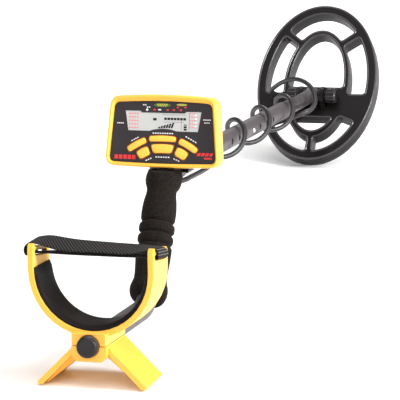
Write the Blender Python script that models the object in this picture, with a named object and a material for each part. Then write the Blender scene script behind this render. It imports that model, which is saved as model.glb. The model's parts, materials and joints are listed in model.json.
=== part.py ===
"""Metal detector with an arm cuff, a control box and an oval search coil.

The detector stands on the two feet of its cuff and on the heel of its coil.
X is sideways, Y runs forward to the coil and Z is up, in metres.
Most parts are modelled in the stem's own frame, where Y is the axis of the
straight stem and the upper bend of the handle is the origin. The coil and the
control box have frames of their own, each carried by an empty.
"""
import math

import bmesh
import bpy
from mathutils import Matrix, Vector

MM = 0.001
GAP = 0.3 * MM

# Standing attitude: the stem dips forward by this much when it rests on feet and coil.
STEM_DIP = math.radians(5.32)
STEM_HEIGHT = 154.9 * MM
STEM_FORWARD = -250.2 * MM

# Stem and handle, in the stem frame.
TUBE_RADIUS = 11.1 * MM
TUBE_BORE = 9.7 * MM
BEND_RADIUS = 34.0 * MM
REAR_END = Vector((0, -262, -134)) * MM
LOWER_BEND = Vector((0, -70, -134)) * MM
UPPER_BEND = Vector((0, 0, 0))
SWAGE_START = 144.0 * MM
SWAGE_END = 149.0 * MM
SWAGE_RADIUS = 9.45 * MM
SWAGE_BORE = 8.1 * MM
UPPER_STEM_FRONT = 219.0 * MM

MIDDLE_REAR = 150.0 * MM
MIDDLE_FRONT = 515.0 * MM
MIDDLE_BORE = 9.8 * MM
HOLE_PITCH = 31.5 * MM
HOLE_COUNT = 7
HOLE_RADIUS = 3.8 * MM
UPPER_SNAP_Y = 186.0 * MM
LOWER_SNAP_Y = 331.0 * MM

LOWER_RADIUS = 9.5 * MM
LOWER_BORE = 7.0 * MM
LOWER_REAR = 318.0 * MM
PIVOT_Y = 672.0 * MM
TONGUE_HALF = 9.0 * MM
PIVOT_HOLE = 3.3 * MM

SNAP_RADIUS = 3.3 * MM
SNAP_TIP = 13.0 * MM
SNAP_SEAT = 6.0 * MM

COLLAR_REAR = 140.0 * MM
COLLAR_FRONT = 176.0 * MM
COLLAR_RADIUS = 15.0 * MM

# Foam grip: outer radius at distances up the handle from the grip's lower end, in millimetres.
# A bulb, the palm, three grooves that leave two rings, a waist and the upper bulb.
GRIP_PROFILE = (
    (0, 15.5), (3, 18.3), (9, 20.2), (17, 19.8), (25, 17.6), (35, 18.0), (48, 19.0), (59, 19.1),
    (62.5, 17.3), (66, 19.2), (71, 19.2), (74.5, 17.0), (78, 19.3), (84, 19.3), (87.5, 16.8),
    (91, 18.6), (100, 18.8), (110, 18.2), (121, 16.2), (127, 17.0), (133, 19.3), (141, 19.4), (150, 18.0))
GRIP_TOP_Z = 3.0 * MM

# Arm cuff and stand, in the stem frame.
ARM_Z = -134.0 * MM
CUFF_REAR = -250.0 * MM
CUFF_FRONT = -202.0 * MM
CUFF_INNER = 60.0 * MM
CUFF_WALL = 6.0 * MM
CUFF_CENTRE_Z = -61.0 * MM
CUFF_TOP_Z = -34.5 * MM
CUFF_TOP_SLOPE = 0.125
HORN_LENGTH = 7.0 * MM
PAD_THICKNESS = 5.5 * MM
PAD_TOP_Z = -59.0 * MM
SLEEVE_HALF = 18.0 * MM
SLEEVE_TOP_Z = -121.5 * MM
SLEEVE_BOTTOM_Z = -150.0 * MM
SLEEVE_REAR = -259.0 * MM
SLEEVE_FRONT = -197.0 * MM
STRAP_HALF = 16.5 * MM
STRAP_THICKNESS = 3.0 * MM
STRAP_FRONT_RISE = 2.5 * MM
STRAP_REAR_SAG = 5.0 * MM
FOOT_Z = -177.0 * MM
FOOT_HALF_SPREAD = 57.0 * MM
CUFF_BOLT_Y = -236.0 * MM
CUFF_TRAVEL = 40.0 * MM
CUFF_BOLT_RADIUS = 2.5 * MM

# Search coil, in the coil frame: origin on the pivot, Y along the long axis, Z off the top face.
COIL_TILT = math.radians(59.4)
COIL_TOP_Z = -14.0 * MM
COIL_THICKNESS = 22.0 * MM
COVER_THICKNESS = 2.4 * MM
COIL_CENTRE_Y = 26.0 * MM
COIL_OUTER = (82.5 * MM, 114.3 * MM)
RING_INSIDE = (69.0 * MM, 101.0 * MM)
HOOP_OUTSIDE = (45.5 * MM, 79.5 * MM)
HOOP_INSIDE = (37.5 * MM, 70.5 * MM)
EAR_INSIDE = 12.0 * MM
EAR_OUTSIDE = 17.4 * MM
EAR_RADIUS = 11.5 * MM
EAR_BASE = 18.5 * MM
NUT_LENGTH = 16.0 * MM
NUT_RADIUS = 10.5 * MM
ROD_RADIUS = 3.0 * MM
GLAND_PLACE = Vector((-55.8, 3.2, -14.0)) * MM
GLAND_HEIGHT = 10.0 * MM

# Coil cable: wound round the stem, then one wide loop at the coil.
CABLE_RADIUS = 3.0 * MM
WIND_RADIUS = 18.4 * MM
WIND_PITCH = 115.5 * MM
WIND_TOP_Y = 290.0 * MM
WIND_END_Y = 536.0 * MM

# Control box, in the face frame: X sideways, Y up the face, Z towards the user.
FACE_CENTRE = Vector((0, -3.2, 45.0)) * MM
FACE_LEAN = math.radians(7.7)
LABEL_Z = -0.8 * MM
LABEL_THICKNESS = 0.8 * MM
PANEL_BACK_Z = -4.0 * MM
FRONT_BACK_Z = -18.0 * MM
REAR_BACK_Z = -46.0 * MM
BOX_WALL = 2.4 * MM
KEY_TOP_Z = 1.0 * MM
KEY_BOTTOM_Z = -5.8 * MM
SOCKET_PLACE = (-42.0 * MM, -18.0 * MM)
CELL_RADIUS = 7.15 * MM
CELL_LENGTH = 50.5 * MM
CELL_PITCH = 15.2 * MM
CELL_Z = -35.0 * MM
SADDLE_SCREW_X = 17.7 * MM
SADDLE_SCREW_Y = 33.0 * MM

KEYS = {
    # name: centre x, centre y, half length, half height, turn in degrees, taper
    "key_mode": (-29.0, -14.6, 12.2, 3.7, 29.0, 0.0),
    "key_sensitivity": (0.0, -7.8, 15.6, 3.4, 0.0, 0.0),
    "key_discriminate": (29.0, -14.6, 12.2, 3.7, -29.0, 0.0),
    "key_power": (-21.3, -23.4, 7.6, 5.4, 28.0, 0.06),
    "key_pinpoint": (0.0, -18.6, 12.6, 5.1, 0.0, 0.13),
    "key_eliminate": (21.3, -23.4, 7.6, 5.4, -28.0, 0.06),
}

COLOURS = {
    # name: colour, roughness, metallic
    "yellow_plastic": ((0.90, 0.50, 0.04), 0.38, 0.0),
    "black_plastic": ((0.022, 0.020, 0.020), 0.42, 0.0),
    "grey_tube": ((0.17, 0.155, 0.16), 0.48, 0.6),
    "lower_tube": ((0.15, 0.135, 0.14), 0.38, 0.0),
    "foam": ((0.020, 0.019, 0.018), 0.95, 0.0),
    "webbing": ((0.028, 0.026, 0.027), 0.9, 0.0),
    "cable_jacket": ((0.055, 0.053, 0.058), 0.45, 0.0),
    "label": ((0.045, 0.040, 0.048), 0.5, 0.0),
    "lcd_glass": ((0.58, 0.59, 0.56), 0.12, 0.0),
    "steel": ((0.62, 0.62, 0.62), 0.3, 1.0),
    "copper": ((0.72, 0.36, 0.16), 0.35, 1.0),
    "board": ((0.02, 0.16, 0.07), 0.55, 0.0),
    "rubber": ((0.018, 0.018, 0.018), 0.8, 0.0),
    "cell_wrap": ((0.05, 0.09, 0.16), 0.35, 0.0),
}


def material(name):
    """Return the named Principled material, made once."""
    found = bpy.data.materials.get(name)
    if found:
        return found
    colour, roughness, metallic = COLOURS[name]
    made = bpy.data.materials.new(name)
    made.use_nodes = True
    shader = made.node_tree.nodes["Principled BSDF"]
    shader.inputs["Base Color"].default_value = (*colour, 1.0)
    shader.inputs["Roughness"].default_value = roughness
    shader.inputs["Metallic"].default_value = metallic
    made.diffuse_color = (*colour, 1.0)
    return made


def clear_scene():
    for ob in list(bpy.data.objects):
        bpy.data.objects.remove(ob, do_unlink=True)


def empty(name, parent, location=(0, 0, 0), turn_x=0.0):
    ob = bpy.data.objects.new(name, None)
    bpy.context.scene.collection.objects.link(ob)
    ob.parent = parent
    ob.location = location
    ob.rotation_euler = (turn_x, 0, 0)
    return ob


def add_object(name, bm, colour, parent, origin=(0, 0, 0), smooth=True):
    """Link a bmesh as an object whose origin is at the given point of its parent's frame."""
    bmesh.ops.recalc_face_normals(bm, faces=bm.faces)
    bmesh.ops.translate(bm, verts=bm.verts, vec=-Vector(origin))
    mesh = bpy.data.meshes.new(name)
    bm.to_mesh(mesh)
    bm.free()
    ob = bpy.data.objects.new(name, mesh)
    bpy.context.scene.collection.objects.link(ob)
    ob.parent = parent
    ob.location = origin
    mesh.materials.append(material(colour))
    if smooth:
        mesh.shade_smooth()
        mesh.set_sharp_from_angle(angle=math.radians(35))
    return ob


def cut(ob, cutter):
    """Subtract a cutter, which stays in the scene as a hidden wire guide."""
    cutter.hide_render = True
    cutter.display_type = "WIRE"
    modifier = ob.modifiers.new("cut_" + cutter.name, "BOOLEAN")
    modifier.operation = "DIFFERENCE"
    modifier.solver = "EXACT"
    modifier.object = cutter


def join(ob, other):
    """Unite another body with an object; the other stays as a hidden wire guide."""
    cut(ob, other)
    ob.modifiers[-1].operation = "UNION"


def loft(bm, rings, loop=False):
    """Skin a list of rings of equal length; the ends are capped unless the rings form a loop."""
    rows = [[bm.verts.new(point) for point in ring] for ring in rings]
    count = len(rows[0])
    pairs = list(zip(rows, rows[1:]))
    if loop:
        pairs.append((rows[-1], rows[0]))
    for lower, upper in pairs:
        for i in range(count):
            j = (i + 1) % count
            bm.faces.new((lower[i], lower[j], upper[j], upper[i]))
    if not loop:
        bm.faces.new(list(reversed(rows[0])))
        bm.faces.new(rows[-1])
    return rows


def circle(centre, radius, across, up, sides, turn=0.0):
    """Points of a circle in the plane of the two unit vectors."""
    points = []
    for i in range(sides):
        angle = turn + 2 * math.pi * i / sides
        points.append(centre + across * (radius * math.cos(angle)) + up * (radius * math.sin(angle)))
    return points


AXES = {
    "X": (Vector((1, 0, 0)), Vector((0, 1, 0)), Vector((0, 0, 1))),
    "Y": (Vector((0, 1, 0)), Vector((0, 0, 1)), Vector((1, 0, 0))),
    "Z": (Vector((0, 0, 1)), Vector((1, 0, 0)), Vector((0, 1, 0))),
}


def turned(bm, axis, centre, profile, sides=20, loop=False, lobes=0, depth=0.0):
    """Turn a profile of (distance, radius) pairs round an axis; lobes flute its outside."""
    along, across, up = AXES[axis]
    rings = []
    for distance, radius in profile:
        ring = circle(Vector((0, 0, 0)), 1.0, across, up, sides)
        points = []
        for i, direction in enumerate(ring):
            wave = depth if lobes and i % 2 and radius > 0.9 * profile[1][1] else 0.0
            points.append(Vector(centre) + along * distance + direction * (radius - wave))
        rings.append(points)
    loft(bm, rings, loop)


def box(bm, low, high):
    """A rectangular block between two corners."""
    corners = [(low[0], low[1]), (high[0], low[1]), (high[0], high[1]), (low[0], high[1])]
    loft(bm, [[Vector((x, y, z)) for x, y in corners] for z in (low[2], high[2])])


def prism(bm, outline, low, high, plane="XY"):
    """Extrude a closed outline of 2D points between two levels."""
    def place(point, level):
        if plane == "XY":
            return Vector((point[0], point[1], level))
        if plane == "YZ":
            return Vector((level, point[0], point[1]))
        return Vector((point[0], level, point[1]))

    loft(bm, [[place(point, level) for point in outline] for level in (low, high)])


def plate(bm, outline, holes, low, high):
    """A flat plate with holes, between two Z levels."""
    ends = {}
    for level in (low, high):
        edges = []
        loops = []
        for points in [outline] + holes:
            verts = [bm.verts.new((x, y, level)) for x, y in points]
            loops.append(verts)
            edges += [bm.edges.new((verts[i - 1], verts[i])) for i in range(len(verts))]
        bmesh.ops.triangle_fill(bm, edges=edges, use_beauty=True, use_dissolve=False)
        ends[level] = loops
    for lower, upper in zip(ends[low], ends[high]):
        for i in range(len(lower)):
            bm.faces.new((lower[i - 1], lower[i], upper[i], upper[i - 1]))


def rounded_path(corners, radius, steps):
    """A polyline through the corners with each inner corner rounded to an arc."""
    path = [corners[0].copy()]
    for before, corner, after in zip(corners, corners[1:], corners[2:]):
        inward = (before - corner).normalized()
        outward = (after - corner).normalized()
        half = inward.angle(outward) / 2
        setback = radius / math.tan(half)
        centre = corner + (inward + outward).normalized() * (radius / math.sin(half))
        start = corner + inward * setback - centre
        normal = start.cross(outward).normalized()
        sweep = math.pi - 2 * half
        for i in range(steps + 1):
            path.append(centre + Matrix.Rotation(sweep * i / steps, 3, normal) @ start)
    path.append(corners[-1].copy())
    return path


def path_rings(path, radii, sides):
    """Rings square to a path that lies in the plane X = 0."""
    across = Vector((1, 0, 0))
    rings = []
    for i, (point, radius) in enumerate(zip(path, radii)):
        ahead = path[min(i + 1, len(path) - 1)] - path[max(i - 1, 0)]
        up = across.cross(ahead.normalized())
        rings.append(circle(point, radius, across, up, sides))
    return rings


def ellipse(axes, centre_y, count, start=0.0, stop=2 * math.pi, ends=False):
    """Points on an ellipse centred on X = 0."""
    last = count - 1 if ends else count
    angles = [start + (stop - start) * i / last for i in range(count)]
    return [(axes[0] * math.cos(a), centre_y + axes[1] * math.sin(a)) for a in angles]


def soften(points, radius, steps=3):
    """Round the corners of a closed 2D outline that turn by more than 30 degrees."""
    out = []
    count = len(points)
    for i, point in enumerate(points):
        here = Vector(point)
        back = Vector(points[i - 1]) - here
        ahead = Vector(points[(i + 1) % count]) - here
        turn = math.pi - back.angle(ahead)
        if turn < math.radians(30):
            out.append(tuple(here))
            continue
        reach = min(radius, 0.48 * back.length, 0.48 * ahead.length)
        first = here + back.normalized() * reach
        last = here + ahead.normalized() * reach
        for k in range(steps + 1):
            t = k / steps
            out.append(tuple(first * (1 - t) ** 2 + here * (2 * t * (1 - t)) + last * t ** 2))
    return out


def smooth_curve(points, spacing):
    """A Catmull-Rom curve through the points, sampled at about the given spacing."""
    padded = [points[0] * 2 - points[1]] + list(points) + [points[-1] * 2 - points[-2]]
    fine = []
    for a, b, c, d in zip(padded, padded[1:], padded[2:], padded[3:]):
        for k in range(12):
            t = k / 12
            fine.append(0.5 * ((2 * b) + (c - a) * t + (2 * a - 5 * b + 4 * c - d) * t ** 2
                               + (3 * b - a - 3 * c + d) * t ** 3))
    fine.append(points[-1])
    return resample(fine, spacing)


def resample(points, spacing):
    """Points at even spacing along an open polyline, both ends kept."""
    total = sum((b - a).length for a, b in zip(points, points[1:]))
    count = max(2, round(total / spacing))
    step = total / count
    out = [points[0]]
    carried = 0.0
    for a, b in zip(points, points[1:]):
        length = (b - a).length
        while carried + length >= step * len(out) and len(out) < count:
            out.append(a.lerp(b, (step * len(out) - carried) / length))
        carried += length
    out.append(points[-1])
    return out


# ---------------------------------------------------------------- handle and stem

def handle_path(front, steps=6):
    return rounded_path([REAR_END, LOWER_BEND, UPPER_BEND, Vector((0, front, 0))], BEND_RADIUS, steps)


def upper_stem(stem):
    path = handle_path(SWAGE_START)
    outer_radii = [TUBE_RADIUS] * len(path) + [SWAGE_RADIUS] * 2
    inner_radii = [TUBE_BORE] * len(path) + [SWAGE_BORE] * 2
    path += [Vector((0, SWAGE_END, 0)), Vector((0, UPPER_STEM_FRONT, 0))]
    outer = path_rings(path, outer_radii, 20)
    inner = path_rings(path, inner_radii, 20)
    bm = bmesh.new()
    loft(bm, outer + inner[::-1], loop=True)
    tube = add_object("upper_stem", bm, "grey_tube", stem)

    bm = bmesh.new()
    half = CUFF_BOLT_RADIUS + 0.5 * MM
    box(bm, (-half, CUFF_BOLT_Y - half, ARM_Z - 2 * TUBE_RADIUS),
        (half, CUFF_BOLT_Y + CUFF_TRAVEL + half, ARM_Z + 2 * TUBE_RADIUS))
    cut(tube, add_object("slot_cutter", bm, "steel", stem))
    cut(tube, snap_holes("upper_snap_hole", stem, [UPPER_SNAP_Y], SNAP_RADIUS + GAP))


def snap_holes(name, stem, places, radius):
    """A cutter of cross holes through the stem at each place."""
    bm = bmesh.new()
    for y in places:
        reach = 2 * TUBE_RADIUS
        turned(bm, "X", (0, y, 0), [(-reach, radius), (reach, radius)], 10)
    return add_object(name, bm, "steel", stem)


def middle_stem(stem):
    bm = bmesh.new()
    turned(bm, "Y", (0, 0, 0), [(MIDDLE_REAR, TUBE_RADIUS), (MIDDLE_FRONT, TUBE_RADIUS),
                                (MIDDLE_FRONT, MIDDLE_BORE), (MIDDLE_REAR, MIDDLE_BORE)], 24, loop=True)
    tube = add_object("middle_stem", bm, "grey_tube", stem)
    first = LOWER_SNAP_Y - HOLE_PITCH * (HOLE_COUNT // 2)
    places = [first + HOLE_PITCH * i for i in range(HOLE_COUNT)]
    cut(tube, snap_holes("middle_holes", stem, [UPPER_SNAP_Y] + places, HOLE_RADIUS))


def lower_stem(stem):
    """A tube, open at the rear, whose front flattens to the tongue of the coil hinge."""
    across = Vector((1, 0, 0))
    up = Vector((0, 0, 1))
    stations = [(PIVOT_Y - 40 * MM, LOWER_BORE), (LOWER_REAR, LOWER_BORE), (LOWER_REAR, LOWER_RADIUS),
                (PIVOT_Y - 30 * MM, LOWER_RADIUS), (PIVOT_Y - 18 * MM, LOWER_RADIUS)]
    rings = [circle(Vector((0, y, 0)), r, across, up, 24) for y, r in stations]
    for offset in (-12, -6, 0, 4, 7, 8.8):
        reach = offset * MM
        half_z = LOWER_RADIUS if reach <= 0 else math.sqrt(LOWER_RADIUS ** 2 - reach ** 2)
        ring = []
        for point in circle(Vector((0, 0, 0)), 1.0, across, up, 24):
            x = TONGUE_HALF * max(-1, min(1, point.x * 1.35))
            z = half_z * max(-1, min(1, point.z * 1.12))
            ring.append(Vector((x, PIVOT_Y + reach, z)))
        rings.append(ring)
    bm = bmesh.new()
    loft(bm, rings)
    tube = add_object("lower_stem", bm, "lower_tube", stem, (0, LOWER_SNAP_Y, 0))
    cut(tube, snap_holes("lower_snap_hole", stem, [LOWER_SNAP_Y], SNAP_RADIUS + GAP))
    bm = bmesh.new()
    turned(bm, "X", (0, PIVOT_Y, 0), [(-20 * MM, PIVOT_HOLE), (20 * MM, PIVOT_HOLE)], 16)
    cut(tube, add_object("pivot_hole", bm, "steel", stem))


def snap_parts(stem, which, y):
    """A V spring inside the tube and the two buttons that it holds in the holes."""
    leaf = 0.8 * MM
    half = 2.6 * MM
    length = 30 * MM
    seat = SNAP_SEAT - GAP
    nose = 1.6 * MM
    right = [(seat, -5 * MM), (seat, 6 * MM), (nose, length)]
    outer = right + [(-x, z) for x, z in reversed(right)]
    inner = [(-seat + leaf, -5 * MM), (-seat + leaf, 5.6 * MM), (-nose + 0.6 * leaf, length - leaf),
             (nose - 0.6 * leaf, length - leaf), (seat - leaf, 5.6 * MM), (seat - leaf, -5 * MM)]
    bm = bmesh.new()
    prism(bm, [(x, y + along) for x, along in outer + inner], -half, half)
    add_object(which + "_snap_spring", bm, "steel", stem, smooth=False)
    for side, sign in (("right", 1), ("left", -1)):
        bm = bmesh.new()
        turned(bm, "X", (0, y, 0), [(sign * SNAP_SEAT, SNAP_RADIUS - 0.2 * MM),
                                    (sign * (SNAP_TIP - 1.6 * MM), SNAP_RADIUS - 0.2 * MM),
                                    (sign * (SNAP_TIP - 0.5 * MM), 2.4 * MM),
                                    (sign * SNAP_TIP, 1.2 * MM)], 12)
        add_object(f"{which}_snap_button_{side}", bm, "steel", stem, (sign * SNAP_SEAT, y, 0))


def locking_collar(stem):
    """A fluted hand collar over the joint of the upper and middle stems."""
    bm = bmesh.new()
    bore = TUBE_RADIUS + 0.4 * MM
    profile = [(COLLAR_REAR, COLLAR_RADIUS - 2 * MM), (COLLAR_REAR + 3 * MM, COLLAR_RADIUS),
               (COLLAR_FRONT - 8 * MM, COLLAR_RADIUS), (COLLAR_FRONT, COLLAR_RADIUS - 3 * MM),
               (COLLAR_FRONT, bore), (COLLAR_REAR, bore)]
    turned(bm, "Y", (0, 0, 0), profile, 32, loop=True, lobes=16, depth=0.8 * MM)
    add_object("locking_collar", bm, "black_plastic", stem)


def tube_end_plug(stem):
    bm = bmesh.new()
    rear = REAR_END.y
    turned(bm, "Y", (0, 0, ARM_Z), [(rear - 6.5 * MM, 4.5 * MM), (rear - 5.2 * MM, 8.2 * MM),
                                    (rear - 2.4 * MM, 10.6 * MM), (rear - GAP, TUBE_RADIUS),
                                    (rear - GAP, TUBE_BORE - GAP), (rear + 14 * MM, TUBE_BORE - 2 * GAP)], 24)
    add_object("tube_end_plug", bm, "rubber", stem)


def grip_radius(distance):
    """Outer radius of the foam at a distance up the handle from its lower end."""
    reach = distance / MM
    for (low, first), (high, second) in zip(GRIP_PROFILE, GRIP_PROFILE[1:]):
        if reach <= high:
            return (first + (second - first) * (reach - low) / (high - low)) * MM
    return GRIP_PROFILE[-1][1] * MM


def foam_grip(stem):
    """A sleeve moulded along the handle from inside the lower bend to just under the box."""
    bends = handle_path(SWAGE_START, 8)[1:-1]
    route = bends[5:14]
    stations = resample(route, 4.2 * MM)
    length = sum((b - a).length for a, b in zip(stations, stations[1:]))
    step = length / (len(stations) - 1)
    radii = [grip_radius(step * i) for i in range(len(stations))]
    outer = path_rings(stations, radii, 16)
    inner = path_rings(route, [TUBE_RADIUS + 0.6 * MM] * len(route), 16)
    bm = bmesh.new()
    loft(bm, outer + inner[::-1], loop=True)
    grip = add_object("foam_grip", bm, "foam", stem)
    bm = bmesh.new()
    reach = 60 * MM
    box(bm, (-reach, -reach, GRIP_TOP_Z), (reach, reach, reach))
    cut(grip, add_object("grip_top_cutter", bm, "foam", stem))


# ---------------------------------------------------------------- cuff and stand

def cuff_section(radius, top, count=20):
    """The U of the cuff at a radius, from the right wall's top round to the left one's."""
    points = [(radius, top)]
    for i in range(count + 1):
        angle = -math.pi * i / count
        points.append((radius * math.cos(angle), CUFF_CENTRE_Z + radius * math.sin(angle)))
    points.append((-radius, top))
    return points


def arm_cuff(stem):
    """The U shell, made one with the upper half of the clamp."""
    outer = cuff_section(CUFF_INNER + CUFF_WALL, CUFF_TOP_Z)
    inner = cuff_section(CUFF_INNER, CUFF_TOP_Z)
    bm = bmesh.new()
    prism(bm, outer + inner[::-1], CUFF_REAR, CUFF_FRONT, "XZ")
    cuff = add_object("arm_cuff", bm, "yellow_plastic", stem)

    bm = bmesh.new()
    box(bm, (-SLEEVE_HALF, SLEEVE_REAR, ARM_Z + GAP), (SLEEVE_HALF, SLEEVE_FRONT, SLEEVE_TOP_Z))
    join(cuff, add_object("clamp_upper_half", bm, "yellow_plastic", stem))

    bm = bmesh.new()
    turned(bm, "Y", (0, 0, ARM_Z), [(SLEEVE_REAR - 10 * MM, TUBE_RADIUS + GAP),
                                    (SLEEVE_FRONT + 10 * MM, TUBE_RADIUS + GAP)], 24)
    bore = add_object("clamp_bore", bm, "steel", stem)
    cut(cuff, bore)

    rear, front = CUFF_REAR + HORN_LENGTH, CUFF_FRONT - HORN_LENGTH
    rounding = [(CUFF_REAR - 10 * MM, -6), (CUFF_REAR, -6), (CUFF_REAR + 0.8 * MM, -2.4),
                (CUFF_REAR + 3 * MM, 0), (CUFF_FRONT - 3 * MM, 0), (CUFF_FRONT - 0.8 * MM, -2.4),
                (CUFF_FRONT, -6), (CUFF_FRONT + 10 * MM, -6),
                (CUFF_FRONT + 10 * MM, 30), (CUFF_REAR - 10 * MM, 30)]
    cuff_trim(cuff, "wall_top_trim", [(y, wall_top(y) + lift * MM) for y, lift in rounding], stem)
    for name, low, high in (("strap_slots", -12, -7), ("strap_seats", -3, 20)):
        section = [(rear, low), (front, low), (front, high), (rear, high)]
        cuff_trim(cuff, name, [(y, wall_top(y) + lift * MM) for y, lift in section], stem)
    bolt_hole = bolt_hole_cutter(stem)
    cut(cuff, bolt_hole)
    return bore, bolt_hole


def wall_top(y):
    """Height of the cuff's wall tops, which slope down towards the front."""
    return CUFF_TOP_Z - CUFF_TOP_SLOPE * (y - CUFF_REAR)


def cuff_trim(cuff, name, section, stem):
    """Cut a section given along the stem and upwards out of both walls."""
    bm = bmesh.new()
    reach = CUFF_INNER + 2 * CUFF_WALL
    prism(bm, section, -reach, reach, "YZ")
    cut(cuff, add_object(name, bm, "steel", stem))


def bolt_hole_cutter(stem):
    bm = bmesh.new()
    radius = CUFF_BOLT_RADIUS + GAP
    turned(bm, "Z", (0, CUFF_BOLT_Y, 0), [(ARM_Z - 30 * MM, radius), (ARM_Z + 30 * MM, radius)], 16)
    return add_object("cuff_bolt_hole", bm, "steel", stem)


def stand(stem, bore, bolt_hole):
    """The lower half of the clamp with two splayed legs: thin plates, each with two ribs under it."""
    chamfer = 5 * MM
    half = SLEEVE_HALF
    bottom = SLEEVE_BOTTOM_Z
    foot = FOOT_Z
    spread = FOOT_HALF_SPREAD
    shoulder = ARM_Z - 1.5 * MM
    plate_root = ARM_Z - 8.5 * MM
    toe = spread - 5 * MM
    side = [(half, ARM_Z - GAP), (half, shoulder), (spread, foot + 3 * MM), (spread, foot), (toe, foot),
            (half, plate_root), (half, bottom + chamfer), (half - chamfer, bottom)]
    outline = side + [(-x, z) for x, z in reversed(side)]
    bm = bmesh.new()
    prism(bm, outline, SLEEVE_REAR, SLEEVE_FRONT, "XZ")
    base = add_object("stand", bm, "yellow_plastic", stem)
    rib_rear = SLEEVE_REAR + 15 * MM
    rib_pitch = 34 * MM
    rib_width = 3 * MM
    for sign in (1, -1):
        rib = [(half - 3 * MM, shoulder - 4 * MM), (spread - 4 * MM, foot + 1 * MM),
               (spread - 7.5 * MM, foot), (half - 3 * MM, bottom + 1.5 * MM)]
        for start in (rib_rear, rib_rear + rib_pitch):
            bm = bmesh.new()
            prism(bm, [(sign * x, z) for x, z in rib], start, start + rib_width, "XZ")
            join(base, add_object("leg_rib", bm, "yellow_plastic", stem))

    # The legs are cut back behind the block and shortened to the slope of the floor.
    bm = bmesh.new()
    low = foot - 12 * MM
    for sign in (1, -1):
        near = sign * (half + 0.4 * MM)
        far = sign * (spread + 10 * MM)
        left, right = min(near, far), max(near, far)
        box(bm, (left, SLEEVE_REAR - 5 * MM, low), (right, SLEEVE_REAR + 6 * MM, ARM_Z + 1 * MM))
    cut(base, add_object("leg_rear_cutter", bm, "steel", stem))
    bm = bmesh.new()
    rise = math.tan(STEM_DIP)
    y0, y1 = SLEEVE_REAR - 10 * MM, SLEEVE_FRONT + 10 * MM
    floor_z = foot + 0.2 * MM
    middle_y = (SLEEVE_REAR + SLEEVE_FRONT) / 2
    rear_z, front_z = [floor_z + rise * (y - middle_y) for y in (y0, y1)]
    slope = [(y0, low), (y1, low), (y1, front_z), (y0, rear_z)]
    prism(bm, slope, -spread - 10 * MM, spread + 10 * MM, "YZ")
    cut(base, add_object("floor_cutter", bm, "steel", stem))
    cut(base, bore)
    cut(base, bolt_hole)


def cuff_pad(stem):
    outer = cuff_section(CUFF_INNER - GAP, PAD_TOP_Z)
    inner = cuff_section(CUFF_INNER - PAD_THICKNESS, PAD_TOP_Z)
    bm = bmesh.new()
    prism(bm, outer + inner[::-1], CUFF_REAR + 1 * MM, CUFF_FRONT - 1 * MM, "XZ")
    pad = add_object("cuff_pad", bm, "foam", stem)
    bm = bmesh.new()
    turned(bm, "Z", (0, CUFF_BOLT_Y, 0), [(ARM_Z, 6.5 * MM), (ARM_Z + 40 * MM, 6.5 * MM)], 16)
    cut(pad, add_object("pad_hole", bm, "steel", stem))


def cuff_strap(stem):
    """The webbing from wall top to wall top, plain: of constant thickness, its rear edge sagging."""
    half_span = [67, 59.5, 55, 51, 47, 43, 22]
    middle = (CUFF_REAR + CUFF_FRONT) / 2
    rings = []
    for y, rise in ((middle - STRAP_HALF, -STRAP_REAR_SAG), (middle + STRAP_HALF, STRAP_FRONT_RISE)):
        base = wall_top(y) - 3 * MM + GAP
        top = []
        for x in half_span + [0] + [-x for x in reversed(half_span)]:
            t = min(1.0, max(0.0, (59.5 - abs(x)) / 16))
            top.append(Vector((x * MM, y, base + STRAP_THICKNESS + rise * t * t * (3 - 2 * t))))
        under = [p - Vector((0, 0, STRAP_THICKNESS)) for p in reversed(top)]
        rings.append(top + under)
    bm = bmesh.new()
    loft(bm, rings)
    add_object("cuff_strap", bm, "webbing", stem)


def cuff_fixings(stem):
    """The bolt down through cuff, tube and stand, and its nut."""
    seat = CUFF_CENTRE_Z - CUFF_INNER + 0.6 * MM
    bm = bmesh.new()
    turned(bm, "Z", (0, CUFF_BOLT_Y, 0),
           [(SLEEVE_BOTTOM_Z - 6 * MM, CUFF_BOLT_RADIUS), (seat + GAP, CUFF_BOLT_RADIUS),
            (seat + GAP, 5.5 * MM), (seat + 1.6 * MM, 5.3 * MM), (seat + 3.0 * MM, 3.0 * MM)], 16)
    add_object("cuff_bolt", bm, "steel", stem)
    bm = bmesh.new()
    bore = CUFF_BOLT_RADIUS + 0.9 * MM
    turned(bm, "Z", (0, CUFF_BOLT_Y, 0),
           [(SLEEVE_BOTTOM_Z - 4.8 * MM, 4.6 * MM), (SLEEVE_BOTTOM_Z - GAP, 4.6 * MM),
            (SLEEVE_BOTTOM_Z - GAP, bore), (SLEEVE_BOTTOM_Z - 4.8 * MM, bore)], 6, loop=True)
    add_object("cuff_nut", bm, "steel", stem, smooth=False)


# ---------------------------------------------------------------- search coil

def between_ellipses(ring_from, ring_to, hoop_from, hoop_to, corner=5.0 * MM):
    """An opening between the outer ring and the inner hoop, angles in degrees."""
    ring = ellipse(RING_INSIDE, COIL_CENTRE_Y, 17, math.radians(ring_from), math.radians(ring_to), True)
    hoop_y = COIL_CENTRE_Y - 2.5 * MM
    hoop = ellipse(HOOP_OUTSIDE, hoop_y, 11, math.radians(hoop_to), math.radians(hoop_from), True)
    return soften(ring + hoop, corner)


def hoop_segment(start, stop, corner=6.0 * MM):
    """An opening inside the hoop, closed by a straight edge of the hub."""
    arc = ellipse(HOOP_INSIDE, COIL_CENTRE_Y - 1 * MM, 25, math.radians(start), math.radians(stop), True)
    return soften(arc, corner)


def mirrored(points):
    return [(-x, y) for x, y in reversed(points)]


def coil_openings():
    side = between_ellipses(41.5, -9.5, 44.5, -10.5)
    heel = between_ellipses(-35.0, -86.0, -37.0, -84.5)
    crown = between_ellipses(48.5, 131.5, 53.0, 127.0)
    hoops = [hoop_segment(-5.5, 185.5), hoop_segment(-133.0, -47.0)]
    return [crown, side, mirrored(side), heel, mirrored(heel)] + hoops


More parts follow.
